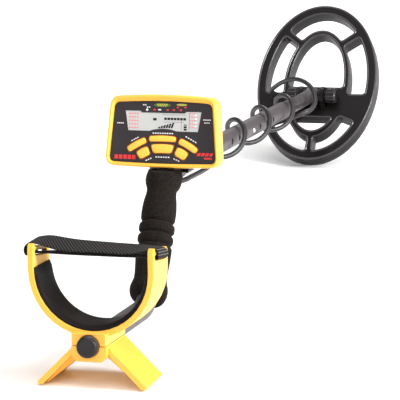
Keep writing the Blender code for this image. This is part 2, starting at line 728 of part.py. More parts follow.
def groove(name, middle, centre_y, half, top, bottom, coil):
    """A ring-shaped cutter for the channel of a winding."""
    outer = ellipse((middle[0] + half, middle[1] + half), centre_y, 40)
    inner = ellipse((middle[0] - half, middle[1] - half), centre_y, 40)
    bm = bmesh.new()
    plate(bm, outer, [inner], bottom, top)
    return add_object(name, bm, "copper", coil)


def search_coil(coil):
    outline = ellipse(COIL_OUTER, COIL_CENTRE_Y, 56)
    holes = coil_openings()
    base = COIL_TOP_Z - COIL_THICKNESS
    seam = base + COVER_THICKNESS
    bm = bmesh.new()
    plate(bm, outline, holes, seam + GAP, COIL_TOP_Z)
    shell = add_object("coil_shell", bm, "black_plastic", coil)
    bm = bmesh.new()
    plate(bm, outline, holes, base, seam)
    add_object("coil_cover", bm, "black_plastic", coil)

    low = seam - 2 * MM
    for name, middle, centre_y, half, height in (
            ("transmit_winding", (75.8 * MM, 107.6 * MM), COIL_CENTRE_Y, 3.0 * MM, 9.0 * MM),
            ("receive_winding", (41.5 * MM, 75.0 * MM), COIL_CENTRE_Y - 2 * MM, 1.9 * MM, 8.0 * MM)):
        cut(shell, groove(name + "_channel", middle, centre_y, half, seam + height, low, coil))
        inner_half = half - GAP
        outer = ellipse((middle[0] + inner_half, middle[1] + inner_half), centre_y, 40)
        inner = ellipse((middle[0] - inner_half, middle[1] - inner_half), centre_y, 40)
        bm = bmesh.new()
        plate(bm, outer, [inner], seam + 2 * GAP, seam + height - GAP)
        add_object(name, bm, "copper", coil)

    bm = bmesh.new()
    for sign in (1, -1):
        profile = [(-EAR_BASE, COIL_TOP_Z - 1 * MM)]
        for i in range(9):
            angle = math.pi * (1 - i / 8)
            profile.append((EAR_RADIUS * math.cos(angle), EAR_RADIUS * math.sin(angle)))
        profile.append((EAR_BASE, COIL_TOP_Z - 1 * MM))
        sides = sorted((sign * EAR_INSIDE, sign * EAR_OUTSIDE))
        prism(bm, profile, *sides, "YZ")
    join(shell, add_object("yoke_ears", bm, "black_plastic", coil))
    bm = bmesh.new()
    turned(bm, "X", (0, 0, 0), [(-30 * MM, PIVOT_HOLE), (30 * MM, PIVOT_HOLE)], 16)
    cut(shell, add_object("ear_holes", bm, "steel", coil))

    bm = bmesh.new()
    turned(bm, "Z", GLAND_PLACE, [(GAP, 5.8 * MM), (3 * MM, 5.6 * MM), (4 * MM, 4.6 * MM), (7 * MM, 4.2 * MM),
                                  (GLAND_HEIGHT, 3.6 * MM)], 16)
    add_object("cable_gland", bm, "rubber", coil, GLAND_PLACE)


def yoke(coil, stem):
    """Threaded rod, washers and hand nuts of the coil hinge."""
    pivot = (0, PIVOT_Y, 0)
    bm = bmesh.new()
    turned(bm, "X", pivot, [(-31 * MM, ROD_RADIUS), (31 * MM, ROD_RADIUS)], 16)
    add_object("yoke_rod", bm, "black_plastic", stem, pivot)
    for side, sign in (("right", 1), ("left", -1)):
        bm = bmesh.new()
        inner, outer = TONGUE_HALF + GAP, EAR_INSIDE - GAP
        turned(bm, "X", (0, 0, 0), [(sign * inner, 8.5 * MM), (sign * outer, 8.5 * MM),
                                    (sign * outer, PIVOT_HOLE), (sign * inner, PIVOT_HOLE)], 20, loop=True)
        add_object("yoke_washer_" + side, bm, "rubber", coil)
        near = EAR_OUTSIDE + GAP
        far = near + NUT_LENGTH
        profile = [(near, 7.5 * MM), (near + 2.5 * MM, 7.5 * MM), (near + 3 * MM, NUT_RADIUS),
                   (far - 1.5 * MM, NUT_RADIUS), (far, NUT_RADIUS - 1.8 * MM)]
        bore = [(31.6 * MM, PIVOT_HOLE), (near, PIVOT_HOLE)]
        bm = bmesh.new()
        rings = []
        for distance, radius in bore + profile:
            ring = circle(Vector((0, 0, 0)), 1.0, Vector((0, 1, 0)), Vector((0, 0, 1)), 24)
            fluted = radius > 8 * MM
            centre = Vector((sign * distance, 0, 0))
            rings.append([centre + d * (radius - (1.0 * MM if fluted and i % 2 else 0))
                          for i, d in enumerate(ring)])
        loft(bm, rings)
        add_object("hand_nut_" + side, bm, "black_plastic", coil)


# ---------------------------------------------------------------- coil cable

def wind_point(y, radius=WIND_RADIUS):
    angle = math.pi / 2 + 2 * math.pi * (y - WIND_TOP_Y) / WIND_PITCH
    return Vector((radius * math.cos(angle), y, radius * math.sin(angle)))


def cable_tube(name, points, stem):
    curve = bpy.data.curves.new(name, "CURVE")
    curve.dimensions = "3D"
    curve.bevel_depth = CABLE_RADIUS
    curve.bevel_resolution = 2
    curve.use_fill_caps = True
    spline = curve.splines.new("POLY")
    spline.points.add(len(points) - 1)
    for knot, point in zip(spline.points, points):
        knot.co = (*point, 1.0)
    curve.materials.append(material("cable_jacket"))
    ob = bpy.data.objects.new(name, curve)
    bpy.context.scene.collection.objects.link(ob)
    ob.parent = stem


def coil_cable(stem, face_to_stem, coil_to_stem):
    plug_end, plug_lead = [face_to_stem @ Vector((*SOCKET_PLACE, REAR_BACK_Z - 36 * MM - reach))
                           for reach in (3 * GAP, 13 * MM)]
    lead = [Vector(p) * MM for p in ((-44, 98, 3), (-43, 92, -8), (-37, 75, -12), (-30, 58, -12.5),
                                     (-19, 49, -15.5), (-6, 52, -18.5), (3, 64, -18.5), (6, 82, -17.5),
                                     (7.5, 102, -17))]
    route = [plug_end, plug_lead] + lead
    y = 126 * MM
    while y < WIND_END_Y - 4 * MM:
        route.append(wind_point(y))
        y += WIND_PITCH / 12
    route += [wind_point(WIND_END_Y - 3 * MM), wind_point(WIND_END_Y)]
    cable_tube("coil_cable", smooth_curve(route, 12.5 * MM), stem)

    gland_end = coil_to_stem @ (GLAND_PLACE + Vector((0, 0, GLAND_HEIGHT + 3 * GAP)))
    gland_lead = coil_to_stem @ (GLAND_PLACE + Vector((0.5 * MM, 0, GLAND_HEIGHT + 11 * MM)))
    first = WIND_END_Y + 4 * GAP
    loop = [wind_point(first), wind_point(first + 3 * MM)]
    loop += [Vector(p) * MM for p in ((-17.5, 547, 1.5), (-14.5, 553, -9.5), (-4, 558.5, -15.5),
                                      (7, 561, -13.5),
                                      (16, 566, -9.5), (22, 574, -6.5), (25.3, 583, -0.2), (24.3, 590, 5.9),
                                      (21.1, 597, 12.2), (15.4, 604, 19), (7.3, 611, 24), (-2.7, 618, 26.8),
                                      (-12.5, 625, 27), (-23, 634, 24.9), (-34.2, 645, 20), (-43.4, 655, 15))]
    loop += [gland_lead, gland_end]
    cable_tube("coil_cable_loop", smooth_curve(loop, 11 * MM), stem)


# ---------------------------------------------------------------- control box

def panel_outline(half_low, half_high, low, high, bulge_low, bulge_high, corner,
                  corner_steps=5, edge_steps=6):
    """A rounded trapezoid with bowed top and bottom edges, as a loop of 2D points."""
    corners = [Vector((half_low, low)), Vector((half_high, high)), Vector((-half_high, high)),
               Vector((-half_low, low))]
    bulges = [0.0, bulge_high, 0.0, -bulge_low]
    points = []
    for i, here in enumerate(corners):
        back = (corners[i - 1] - here).normalized()
        ahead = (corners[(i + 1) % 4] - here).normalized()
        first = here + back * corner
        last = here + ahead * corner
        for k in range(corner_steps + 1):
            t = k / corner_steps
            points.append(first * (1 - t) ** 2 + here * (2 * t * (1 - t)) + last * t ** 2)
        stop = corners[(i + 1) % 4] - ahead * corner
        for k in range(1, edge_steps):
            t = k / edge_steps
            point = last.lerp(stop, t)
            points.append(point + Vector((0, bulges[i] * 4 * t * (1 - t))))
    return [tuple(p) for p in points]


def outer_outline(inset=0.0):
    return panel_outline(65.0 * MM - inset, 59.5 * MM - inset, -38.0 * MM + inset, 38.6 * MM - inset,
                         1.0 * MM, 1.8 * MM, 12 * MM - inset)


def label_outline(inset=0.0):
    return panel_outline(60.5 * MM - inset, 55.0 * MM - inset, -33.5 * MM + inset, 31.5 * MM - inset,
                         1.0 * MM, 1.6 * MM, 7 * MM)


def rear_outline(inset=0.0):
    return panel_outline(54.0 * MM - inset, 52.0 * MM - inset, -33.0 * MM + inset, 33.0 * MM - inset,
                         0.0, 0.0, 8 * MM - 0.5 * inset)


def lcd_outline(inset=0.0):
    return panel_outline(39.5 * MM - inset, 43.0 * MM - inset, 1.0 * MM + inset, 23.0 * MM - inset,
                         0.0, 0.0, 1.5 * MM, 2, 3)


def key_outline(key, grow=0.0):
    """A rounded bar whose upper edge bows up, turned about its centre."""
    x, y, half_x, half_y, turn, taper = KEYS[key]
    half_x = half_x * MM + grow
    half_y = half_y * MM + grow
    corner = min(3.4 * MM, 0.95 * half_y)
    shape = panel_outline(half_x * (1 - taper), half_x * (1 + taper), -half_y, half_y, -0.02 * half_x,
                          0.05 * half_x, corner, 3, 3)
    turn_matrix = Matrix.Rotation(math.radians(turn), 2)
    return [tuple(turn_matrix @ Vector(p) + Vector((x, y)) * MM) for p in shape]


def ring_at(outline, z):
    return [Vector((x, y, z)) for x, y in outline]


def face_with_holes(bm, boundary, hole_rings):
    edges = []
    for verts in [boundary] + hole_rings:
        for i in range(len(verts)):
            edges.append(bm.edges.get((verts[i - 1], verts[i])) or bm.edges.new((verts[i - 1], verts[i])))
    bmesh.ops.triangle_fill(bm, edges=edges, use_beauty=True)


def bridge_rings(bm, lower, upper):
    for i in range(len(lower)):
        bm.faces.new((lower[i - 1], lower[i], upper[i], upper[i - 1]))


def front_housing(face, tunnel):
    """The yellow frame: hood round the label, panel with openings behind it, walls to the seam."""
    holes = [lcd_outline(-0.3 * MM)] + [key_outline(key, 0.5 * MM) for key in KEYS]
    pocket_z = LABEL_Z - LABEL_THICKNESS - GAP
    bm = bmesh.new()
    shells = [(outer_outline(BOX_WALL), PANEL_BACK_Z), (outer_outline(BOX_WALL), FRONT_BACK_Z),
              (outer_outline(), FRONT_BACK_Z), (outer_outline(), 0.0), (outer_outline(1.2 * MM), 3.2 * MM),
              (outer_outline(3.0 * MM), 3.6 * MM), (label_outline(-0.4 * MM), 0.2 * MM),
              (label_outline(-0.3 * MM), pocket_z)]
    rows = [[bm.verts.new(p) for p in ring_at(outline, z)] for outline, z in shells]
    for lower, upper in zip(rows, rows[1:]):
        bridge_rings(bm, lower, upper)
    front_holes = [[bm.verts.new(p) for p in ring_at(hole, pocket_z)] for hole in holes]
    back_holes = [[bm.verts.new(p) for p in ring_at(hole, PANEL_BACK_Z)] for hole in holes]
    for lower, upper in zip(back_holes, front_holes):
        bridge_rings(bm, lower, upper)
    face_with_holes(bm, rows[-1], front_holes)
    face_with_holes(bm, rows[0], back_holes)
    housing = add_object("front_housing", bm, "yellow_plastic", face)
    cut(housing, tunnel)


def label_plate(face):
    holes = [lcd_outline(-0.3 * MM)] + [key_outline(key, 0.5 * MM) for key in KEYS]
    bm = bmesh.new()
    plate(bm, label_outline(), holes, LABEL_Z - LABEL_THICKNESS, LABEL_Z)
    add_object("label_plate", bm, "label", face)


def display(face):
    bm = bmesh.new()
    prism(bm, lcd_outline(), -3.4 * MM, -1.2 * MM)
    add_object("lcd_window", bm, "lcd_glass", face, smooth=False)
    bm = bmesh.new()
    box(bm, (-44 * MM, 0.0, -8.4 * MM), (44 * MM, 24 * MM, PANEL_BACK_Z - GAP))
    add_object("lcd_module", bm, "steel", face, smooth=False)


def keys(face):
    """Each key has a flange behind the panel that keeps it in."""
    for key in KEYS:
        flange_top = PANEL_BACK_Z - GAP
        levels = [(0.0, KEY_TOP_Z, -0.7 * MM), (0.0, KEY_TOP_Z - 0.6 * MM, 0.0), (0.0, flange_top, 0.0),
                  (0.0, flange_top, 0.75 * MM), (0.0, KEY_BOTTOM_Z, 0.75 * MM)]
        bm = bmesh.new()
        loft(bm, [ring_at(key_outline(key, grow), z) for _, z, grow in levels][::-1])
        x, y = KEYS[key][:2]
        add_object(key, bm, "yellow_plastic", face, (x * MM, y * MM, 0))


def circuit_board(face):
    """The board, with a dome switch under each key."""
    top = -8.9 * MM
    bm = bmesh.new()
    board = panel_outline(56 * MM, 52 * MM, -28 * MM, 30 * MM, 0.0, 0.0, 5 * MM, 3, 2)
    prism(bm, board, top - 1.6 * MM, top)
    ob = add_object("circuit_board", bm, "board", face, smooth=False)
    bm = bmesh.new()
    for x, y, *_ in KEYS.values():
        switch = [(top - 0.8 * MM, 2.6 * MM), (KEY_BOTTOM_Z - 1.3 * MM, 2.0 * MM)]
        turned(bm, "Z", (x * MM, y * MM, 0), switch, 12)
    join(ob, add_object("dome_switches", bm, "steel", face))


def loudspeaker(face):
    bm = bmesh.new()
    turned(bm, "Z", (34 * MM, 8 * MM, 0), [(-21.5 * MM, 9 * MM), (-16 * MM, 9.5 * MM), (-13.5 * MM, 15.5 * MM),
                                           (-11.2 * MM, 15.5 * MM)], 24)
    add_object("loudspeaker", bm, "steel", face)


def rear_housing(face, tunnel):
    """The black tub behind the front housing, with the battery opening in its rear wall."""
    wall = 2.2 * MM
    top = FRONT_BACK_Z - GAP
    bm = bmesh.new()
    shells = [(rear_outline(wall), REAR_BACK_Z + wall), (rear_outline(wall), top),
              (outer_outline(1.0 * MM), top),
              (outer_outline(1.0 * MM), top - wall), (rear_outline(-1.0 * MM), top - wall - 1.5 * MM),
              (rear_outline(), REAR_BACK_Z + 2 * MM), (rear_outline(2 * MM), REAR_BACK_Z)]
    rings = [ring_at(outline, z) for outline, z in shells]
    loft(bm, rings)
    housing = add_object("rear_housing", bm, "black_plastic", face)
    cutters = bmesh.new()
    box(cutters, (-31.5 * MM, -22 * MM, REAR_BACK_Z - 5 * MM), (31.5 * MM, 28 * MM, REAR_BACK_Z + 5 * MM))
    socket_hole = [(REAR_BACK_Z - 5 * MM, 6.8 * MM), (REAR_BACK_Z + 5 * MM, 6.8 * MM)]
    turned(cutters, "Z", (*SOCKET_PLACE, 0), socket_hole, 16)
    turned(cutters, "X", (0, -8 * MM, -33 * MM), [(-60 * MM, 5.6 * MM), (-45 * MM, 5.6 * MM)], 16)
    for i in range(5):
        y = (-2 + 4 * i) * MM
        box(cutters, (48 * MM, y, -36 * MM), (60 * MM, y + 1.8 * MM, -24 * MM))
    cut(housing, add_object("rear_openings", cutters, "steel", face))
    cut(housing, tunnel)


def batteries(face):
    """Four upright AA cells in a tray, their contacts and the sliding door behind them."""
    half = 2 * CELL_PITCH
    low, high = -24.0 * MM, 28.6 * MM
    front_z = CELL_Z + CELL_RADIUS + GAP
    wall = 1.0 * MM
    bm = bmesh.new()
    section = [(-half - wall, REAR_BACK_Z + 4.2 * MM), (-half, REAR_BACK_Z + 4.2 * MM), (-half, front_z),
               (half, front_z), (half, REAR_BACK_Z + 4.2 * MM), (half + wall, REAR_BACK_Z + 4.2 * MM),
               (half + wall, front_z + wall), (-half - wall, front_z + wall)]
    loft(bm, [[Vector((x, y, z)) for x, z in section] for y in (low, high)])
    add_object("battery_tray", bm, "black_plastic", face, smooth=False)

    centre_y = (low + high) / 2
    for i in range(4):
        x = (i - 1.5) * CELL_PITCH
        sign = 1 if i % 2 else -1
        ends = [(-25.25, 7.15), (23.6, 7.15), (24.2, 6.6), (24.2, 2.7), (25.25, 2.6)]
        bm = bmesh.new()
        profile = [(sign * d * MM, min(r * MM, CELL_RADIUS)) for d, r in ends]
        turned(bm, "Y", (x, centre_y, CELL_Z), profile, 16)
        add_object(f"aa_cell_{i + 1}", bm, "cell_wrap", face)
    for name, end in (("battery_contacts_lower", -1), ("battery_contacts_upper", 1)):
        level = centre_y + end * (CELL_LENGTH / 2 + 0.9 * MM)
        bm = bmesh.new()
        box(bm, (-half + 3 * MM, level - 0.4 * MM, CELL_Z - 4.5 * MM),
            (half - 3 * MM, level + 0.4 * MM, CELL_Z + 4.5 * MM))
        add_object(name, bm, "steel", face, smooth=False)

    bm = bmesh.new()
    door = panel_outline(34 * MM, 34 * MM, -23.5 * MM, 30 * MM, 0.0, 0.0, 4 * MM, 3, 2)
    prism(bm, door, REAR_BACK_Z - 2.3 * MM, REAR_BACK_Z - GAP)
    door_ob = add_object("battery_door", bm, "black_plastic", face, (0, 0, REAR_BACK_Z))
    bm = bmesh.new()
    for i in range(4):
        y = (14 + 3 * i) * MM
        box(bm, (-12 * MM, y, REAR_BACK_Z - 3.1 * MM), (12 * MM, y + 1.4 * MM, REAR_BACK_Z - 1.5 * MM))
    join(door_ob, add_object("door_ribs", bm, "black_plastic", face))


def sockets(face):
    """Headphone socket in the left wall, cable socket, plug and coupling ring behind."""
    bm = bmesh.new()
    turned(bm, "X", (0, -8 * MM, -33 * MM), [(-55.2 * MM, 5.2 * MM), (-42 * MM, 5.2 * MM), (-42 * MM, 3.3 * MM),
                                             (-55.2 * MM, 3.3 * MM)], 16, loop=True)
    add_object("headphone_socket", bm, "black_plastic", face)
    x, y = SOCKET_PLACE
    back = REAR_BACK_Z
    bm = bmesh.new()
    turned(bm, "Z", (x, y, back), [(-8 * MM, 6.3 * MM), (8 * MM, 6.3 * MM), (8 * MM, 4.4 * MM),
                                   (-8 * MM, 4.4 * MM)], 20, loop=True)
    add_object("cable_socket", bm, "steel", face)
    bm = bmesh.new()
    turned(bm, "Z", (x, y, back), [(-36 * MM, 3.5 * MM), (-24 * MM, 5.0 * MM), (-22 * MM, 6.6 * MM),
                                   (-10.3 * MM, 6.6 * MM), (-10.3 * MM, 4.1 * MM), (5 * MM, 4.1 * MM)], 20)
    add_object("cable_plug", bm, "black_plastic", face, (x, y, back - 10 * MM))
    bm = bmesh.new()
    turned(bm, "Z", (x, y, back), [(-20 * MM, 7.0 * MM), (-20 * MM, 8.6 * MM), (-3 * MM, 8.6 * MM),
                                   (-3 * MM, 7.0 * MM)], 24, loop=True, lobes=12, depth=0.6 * MM)
    add_object("plug_ring", bm, "black_plastic", face, (x, y, back - 10 * MM))


def saddle(stem):
    """The half ring that carries the box on the stem, the strap under the stem and their screws."""
    inner, outer = TUBE_RADIUS + GAP, TUBE_RADIUS + 3.2 * MM
    rear, front = 22 * MM, 44 * MM
    for name, sign in (("stem_saddle", 1), ("saddle_strap", -1)):
        lip = GAP if sign > 0 else -GAP
        arc = [(inner * math.cos(math.pi * i / 12), sign * inner * math.sin(math.pi * i / 12))
               for i in range(13)]
        outer_arc = [(outer * math.cos(math.pi * i / 12), sign * outer * math.sin(math.pi * i / 12))
                     for i in range(1, 12)]
        arc[0] = (inner, lip)
        arc[-1] = (-inner, lip)
        ear = outer + 6.5 * MM
        thick = sign * 3.0 * MM
        flange = outer * math.cos(math.asin(3.0 * MM / outer))
        section = arc + [(-ear, lip), (-ear, thick), (-flange, thick)]
        section += [p for p in reversed(outer_arc) if abs(p[1]) > 3.2 * MM]
        section += [(flange, thick), (ear, thick), (ear, lip)]
        bm = bmesh.new()
        prism(bm, section, rear, front, "XZ")
        ob = add_object(name, bm, "black_plastic", stem)
        cut(ob, saddle_screw_holes(stem, name))
    for side, sign in (("right", 1), ("left", -1)):
        bm = bmesh.new()
        turned(bm, "Z", (sign * SADDLE_SCREW_X, SADDLE_SCREW_Y, 0),
               [(-6.4 * MM, 1.8 * MM), (-5.2 * MM, 2.8 * MM), (-3.4 * MM, 2.8 * MM), (-3.4 * MM, 1.4 * MM),
                (3.6 * MM, 1.4 * MM)], 12)
        add_object("saddle_screw_" + side, bm, "steel", stem)


def saddle_screw_holes(stem, name):
    bm = bmesh.new()
    for sign in (1, -1):
        hole = [(-8 * MM, 1.7 * MM), (8 * MM, 1.7 * MM)]
        turned(bm, "Z", (sign * SADDLE_SCREW_X, SADDLE_SCREW_Y, 0), hole, 12)
    return add_object(name + "_holes", bm, "steel", stem)


def tunnel_cutter(stem):
    """The space that the box leaves for the stem and its saddle."""
    bm = bmesh.new()
    path = handle_path(60 * MM)[8:]
    loft(bm, path_rings(path, [TUBE_RADIUS + 3.6 * MM] * len(path), 20))
    ear = TUBE_RADIUS + 3.2 * MM + 6.5 * MM
    low, high = -6 * MM, 3.6 * MM
    tunnel = add_object("stem_tunnel", bm, "steel", stem)
    bm = bmesh.new()
    box(bm, (-ear - GAP, 21.5 * MM, low), (ear + GAP, 60 * MM, high + 1 * MM))
    ears = add_object("saddle_clearance", bm, "steel", stem)
    return tunnel, ears


def build():
    clear_scene()
    stem = empty("stem_axis", None, (0, STEM_FORWARD, STEM_HEIGHT), -STEM_DIP)
    coil = empty("coil_hinge", stem, (0, PIVOT_Y, 0), COIL_TILT)
    face = empty("box_face", stem, FACE_CENTRE, math.pi / 2 - FACE_LEAN)
    face_to_stem = Matrix.Translation(FACE_CENTRE) @ Matrix.Rotation(math.pi / 2 - FACE_LEAN, 4, "X")
    coil_to_stem = Matrix.Translation((0, PIVOT_Y, 0)) @ Matrix.Rotation(COIL_TILT, 4, "X")

    upper_stem(stem)
    middle_stem(stem)
    lower_stem(stem)
    snap_parts(stem, "upper", UPPER_SNAP_Y)
    snap_parts(stem, "lower", LOWER_SNAP_Y)
    locking_collar(stem)
    tube_end_plug(stem)
    foam_grip(stem)
    bore, bolt_hole = arm_cuff(stem)
    stand(stem, bore, bolt_hole)
    cuff_pad(stem)
    cuff_strap(stem)
    cuff_fixings(stem)
    search_coil(coil)
    yoke(coil, stem)
    coil_cable(stem, face_to_stem, coil_to_stem)
    tunnel, ears = tunnel_cutter(stem)
    front_housing(face, tunnel)
    label_plate(face)
    display(face)
    keys(face)
    circuit_board(face)
    loudspeaker(face)
    rear_housing(face, tunnel)
    cut(bpy.data.objects["rear_housing"], ears)
    batteries(face)
    sockets(face)
    saddle(stem)
    bpy.context.view_layer.update()


build()
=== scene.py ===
"""Looks of the metal detector: finished meshes, soft goods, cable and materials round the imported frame.

Lengths are metres. Most pieces are built in the stem's frame (Y along the straight stem, origin on the
upper bend), in the face frame of the control box (Z towards the user) or in the coil frame (Z off the
coil's top face), and are then carried into the row frame.
"""

import json
import math

import bmesh
import bpy
from mathutils import Matrix, Vector, noise

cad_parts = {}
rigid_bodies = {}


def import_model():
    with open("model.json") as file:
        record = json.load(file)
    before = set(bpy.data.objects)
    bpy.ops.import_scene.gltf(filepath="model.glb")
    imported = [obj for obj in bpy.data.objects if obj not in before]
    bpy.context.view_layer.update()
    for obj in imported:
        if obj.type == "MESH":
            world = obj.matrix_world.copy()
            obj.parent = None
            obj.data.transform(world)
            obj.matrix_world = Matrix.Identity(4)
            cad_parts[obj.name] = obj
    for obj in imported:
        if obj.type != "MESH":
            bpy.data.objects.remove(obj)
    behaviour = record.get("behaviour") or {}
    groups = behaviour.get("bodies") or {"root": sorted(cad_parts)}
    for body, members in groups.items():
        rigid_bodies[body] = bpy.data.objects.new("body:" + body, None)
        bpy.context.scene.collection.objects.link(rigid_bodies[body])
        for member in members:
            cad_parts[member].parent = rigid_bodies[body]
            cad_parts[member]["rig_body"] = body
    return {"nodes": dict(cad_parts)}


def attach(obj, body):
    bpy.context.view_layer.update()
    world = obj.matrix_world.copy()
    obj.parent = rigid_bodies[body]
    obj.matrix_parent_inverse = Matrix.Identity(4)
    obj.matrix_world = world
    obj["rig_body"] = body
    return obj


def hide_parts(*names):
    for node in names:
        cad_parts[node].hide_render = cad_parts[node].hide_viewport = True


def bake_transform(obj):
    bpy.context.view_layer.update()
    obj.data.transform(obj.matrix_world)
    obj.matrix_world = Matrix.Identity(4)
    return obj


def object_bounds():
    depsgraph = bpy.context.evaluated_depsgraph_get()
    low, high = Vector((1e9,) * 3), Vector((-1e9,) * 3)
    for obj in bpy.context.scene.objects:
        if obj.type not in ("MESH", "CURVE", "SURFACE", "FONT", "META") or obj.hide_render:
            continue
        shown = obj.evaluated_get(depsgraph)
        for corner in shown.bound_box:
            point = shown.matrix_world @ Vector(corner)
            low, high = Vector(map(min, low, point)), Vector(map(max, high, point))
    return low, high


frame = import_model()
cad_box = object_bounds()

MM = 0.001

# Camera.
CAMERA_PLACE = Vector((0.7633, -2.6235, 0.7855))
CAMERA_RIGHT = Vector((0.9587, 0.2814, -0.0397))
CAMERA_UP = Vector((-0.0357, 0.2577, 0.9656))
CAMERA_LENS = 213.0

# Frames, as in the part's source.
STEM_DIP = math.radians(5.32)
STEM_FORWARD = -250.2 * MM
STEM_HEIGHT = 154.9 * MM
FACE_CENTRE = Vector((0, -3.2, 45.0)) * MM
FACE_LEAN = math.radians(7.7)
PIVOT_Y = 672.0 * MM
COIL_TILT = math.radians(59.4)
STEM = Matrix.Translation((0, STEM_FORWARD, STEM_HEIGHT)) @ Matrix.Rotation(-STEM_DIP, 4, "X")
FACE = STEM @ Matrix.Translation(FACE_CENTRE) @ Matrix.Rotation(math.pi / 2 - FACE_LEAN, 4, "X")
COIL = STEM @ Matrix.Translation((0, PIVOT_Y, 0)) @ Matrix.Rotation(COIL_TILT, 4, "X")

# Handle and tubes.
TUBE_RADIUS = 11.1 * MM
BEND_RADIUS = 34.0 * MM
REAR_END = Vector((0, -262, -134)) * MM
LOWER_BEND = Vector((0, -70, -134)) * MM
UPPER_BEND = Vector((0, 0, 0))
SWAGE_START = 144.0 * MM
GRIP_TOP_Z = 3.0 * MM
ARM_Z = -134.0 * MM

# Cuff.
CUFF_REAR = -250.0 * MM
CUFF_FRONT = -202.0 * MM
CUFF_INNER = 60.0 * MM
CUFF_CENTRE_Z = -61.0 * MM
PAD_TOP_Z = -59.0 * MM
PAD_THICKNESS = 5.5 * MM
STRAP_WIDTH = 32.0 * MM
STRAP_THICKNESS = 1.7 * MM

# Control box, in the face frame.
LABEL_Z = -0.8 * MM
LABEL_THICKNESS = 0.7 * MM
POCKET_Z = LABEL_Z - 0.75 * MM
LCD_Z = -1.2 * MM
LCD_BACK_Z = -3.4 * MM
PANEL_BACK_Z = -4.0 * MM
FRONT_BACK_Z = -18.0 * MM
BOX_WALL = 2.4 * MM
REAR_BACK_Z = -46.0 * MM
SOCKET_PLACE = (-42.0 * MM, -18.0 * MM)
KEY_GAP = 0.5 * MM
KEY_RIM = 0.7 * MM
INK_LIFT = 0.005 * MM
INK_THICKNESS = 0.05 * MM

# Coil, in the coil frame.
COIL_TOP_Z = -14.0 * MM
COIL_THICKNESS = 22.0 * MM
COVER_THICKNESS = 2.4 * MM
COIL_CENTRE_Y = 26.0 * MM
COIL_OUTER = (82.5 * MM, 114.3 * MM)
RING_INSIDE = (69.0 * MM, 101.0 * MM)
HOOP_OUTSIDE = (45.5 * MM, 79.5 * MM)
HOOP_INSIDE = (37.5 * MM, 70.5 * MM)
GLAND_PLACE = Vector((-55.8, 3.2, -14.0)) * MM
GLAND_HEIGHT = 10.0 * MM
GROOVE_Z = COIL_TOP_Z - 12.0 * MM

# Coil cable.
GAP = 0.3 * MM
CABLE_GAP = 3 * GAP
CABLE_RADIUS = 3.0 * MM
PLUG_LENGTH = 36.0 * MM
PLUG_LEAD = 13.0 * MM
GLAND_LEAD = 11.0 * MM
WIND_RADIUS = 18.4 * MM
WIND_PITCH = 115.5 * MM
WIND_TOP_Y = 290.0 * MM
WIND_START_Y = 126.0 * MM
WIND_END_Y = 536.0 * MM

KEYS = {
    # name: centre x, centre y, half length, half height, turn in degrees, taper
    "key_mode": (-29.0, -14.6, 11.5, 3.3, 29.0, 0.0),
    "key_sensitivity": (0.0, -7.8, 15.1, 3.0, 0.0, 0.0),
    "key_discriminate": (29.0, -14.6, 11.5, 3.3, -29.0, 0.0),
    "key_power": (-21.3, -23.4, 6.8, 4.9, 28.0, 0.06),
    "key_pinpoint": (0.0, -18.6, 11.7, 4.7, 0.0, 0.13),
    "key_eliminate": (21.3, -23.4, 6.8, 4.9, -28.0, 0.06),
}


# ---------------------------------------------------------------- camera, floor and light

def put(node, socket, value):
    """Set a constant on one of a node's inputs."""
    node.inputs[socket].default_value = value


def camera():
    """A long lens from behind, to the right and a little above."""
    data = bpy.data.cameras.new("camera")
    data.sensor_width = 36
    data.lens = CAMERA_LENS
    data.clip_end = 50
    ob = bpy.data.objects.new("camera", data)
    bpy.context.scene.collection.objects.link(ob)
    right = CAMERA_RIGHT.normalized()
    back = right.cross(CAMERA_UP).normalized()
    up = back.cross(right)
    turn = Matrix((right, up, back)).transposed()
    ob.matrix_world = Matrix.Translation(CAMERA_PLACE) @ turn.to_4x4()
    bpy.context.scene.camera = ob


def light(name, kind, power, direction):
    data = bpy.data.lights.new(name, kind)
    data.energy = power
    ob = bpy.data.objects.new(name, data)
    bpy.context.scene.collection.objects.link(ob)
    ob.rotation_euler = Vector(direction).to_track_quat("-Z", "Y").to_euler()
    return ob


def area_light(name, place, target, size, power):
    ob = light(name, "AREA", power, Vector(target) - Vector(place))
    ob.location = place
    ob.data.shape = "DISK"
    ob.data.size = size


def new_object(name, bm):
    """A scene object with the mesh of a bmesh, which is freed."""
    mesh = bpy.data.meshes.new(name)
    bm.to_mesh(mesh)
    bm.free()
    ob = bpy.data.objects.new(name, mesh)
    bpy.context.scene.collection.objects.link(ob)
    return ob


def studio():
    """A pale floor, a dim white surround, a soft sun and three lamps."""
    scene = bpy.context.scene
    scene.view_settings.view_transform = "Standard"
    world = bpy.data.worlds.new("studio")
    scene.world = world
    world.use_nodes = True
    put(world.node_tree.nodes["Background"], "Color", (1.0, 0.99, 0.98, 1.0))
    put(world.node_tree.nodes["Background"], "Strength", 0.36)

    bm = bmesh.new()
    bmesh.ops.create_grid(bm, x_segments=1, y_segments=1, size=60.0)
    floor = new_object("floor", bm)
    floor.location.z = min(0.0, cad_box[0].z) - 0.1 * MM
    pale = bpy.data.materials.new("floor")
    pale.use_nodes = True
    shader = pale.node_tree.nodes["Principled BSDF"]
    put(shader, "Base Color", (0.96, 0.96, 0.96, 1))
    put(shader, "Roughness", 0.95)
    put(shader, "Specular IOR Level", 0.1)
    floor.data.materials.append(pale)

    sun = light("soft_sun", "SUN", 2.2, (-0.30, 0.30, -0.90))
    sun.data.angle = math.radians(70)
    centre = (0, -0.1, 0.12)
    area_light("key_right", (2.0, -0.5, 1.0), centre, 0.8, 62)
    area_light("rim_behind", (-0.3, 2.2, 1.9), (0, 0.2, 0.12), 0.7, 20)
    area_light("fill_front", (-0.7, -2.5, 1.1), centre, 1.6, 9)


# ---------------------------------------------------------------- materials

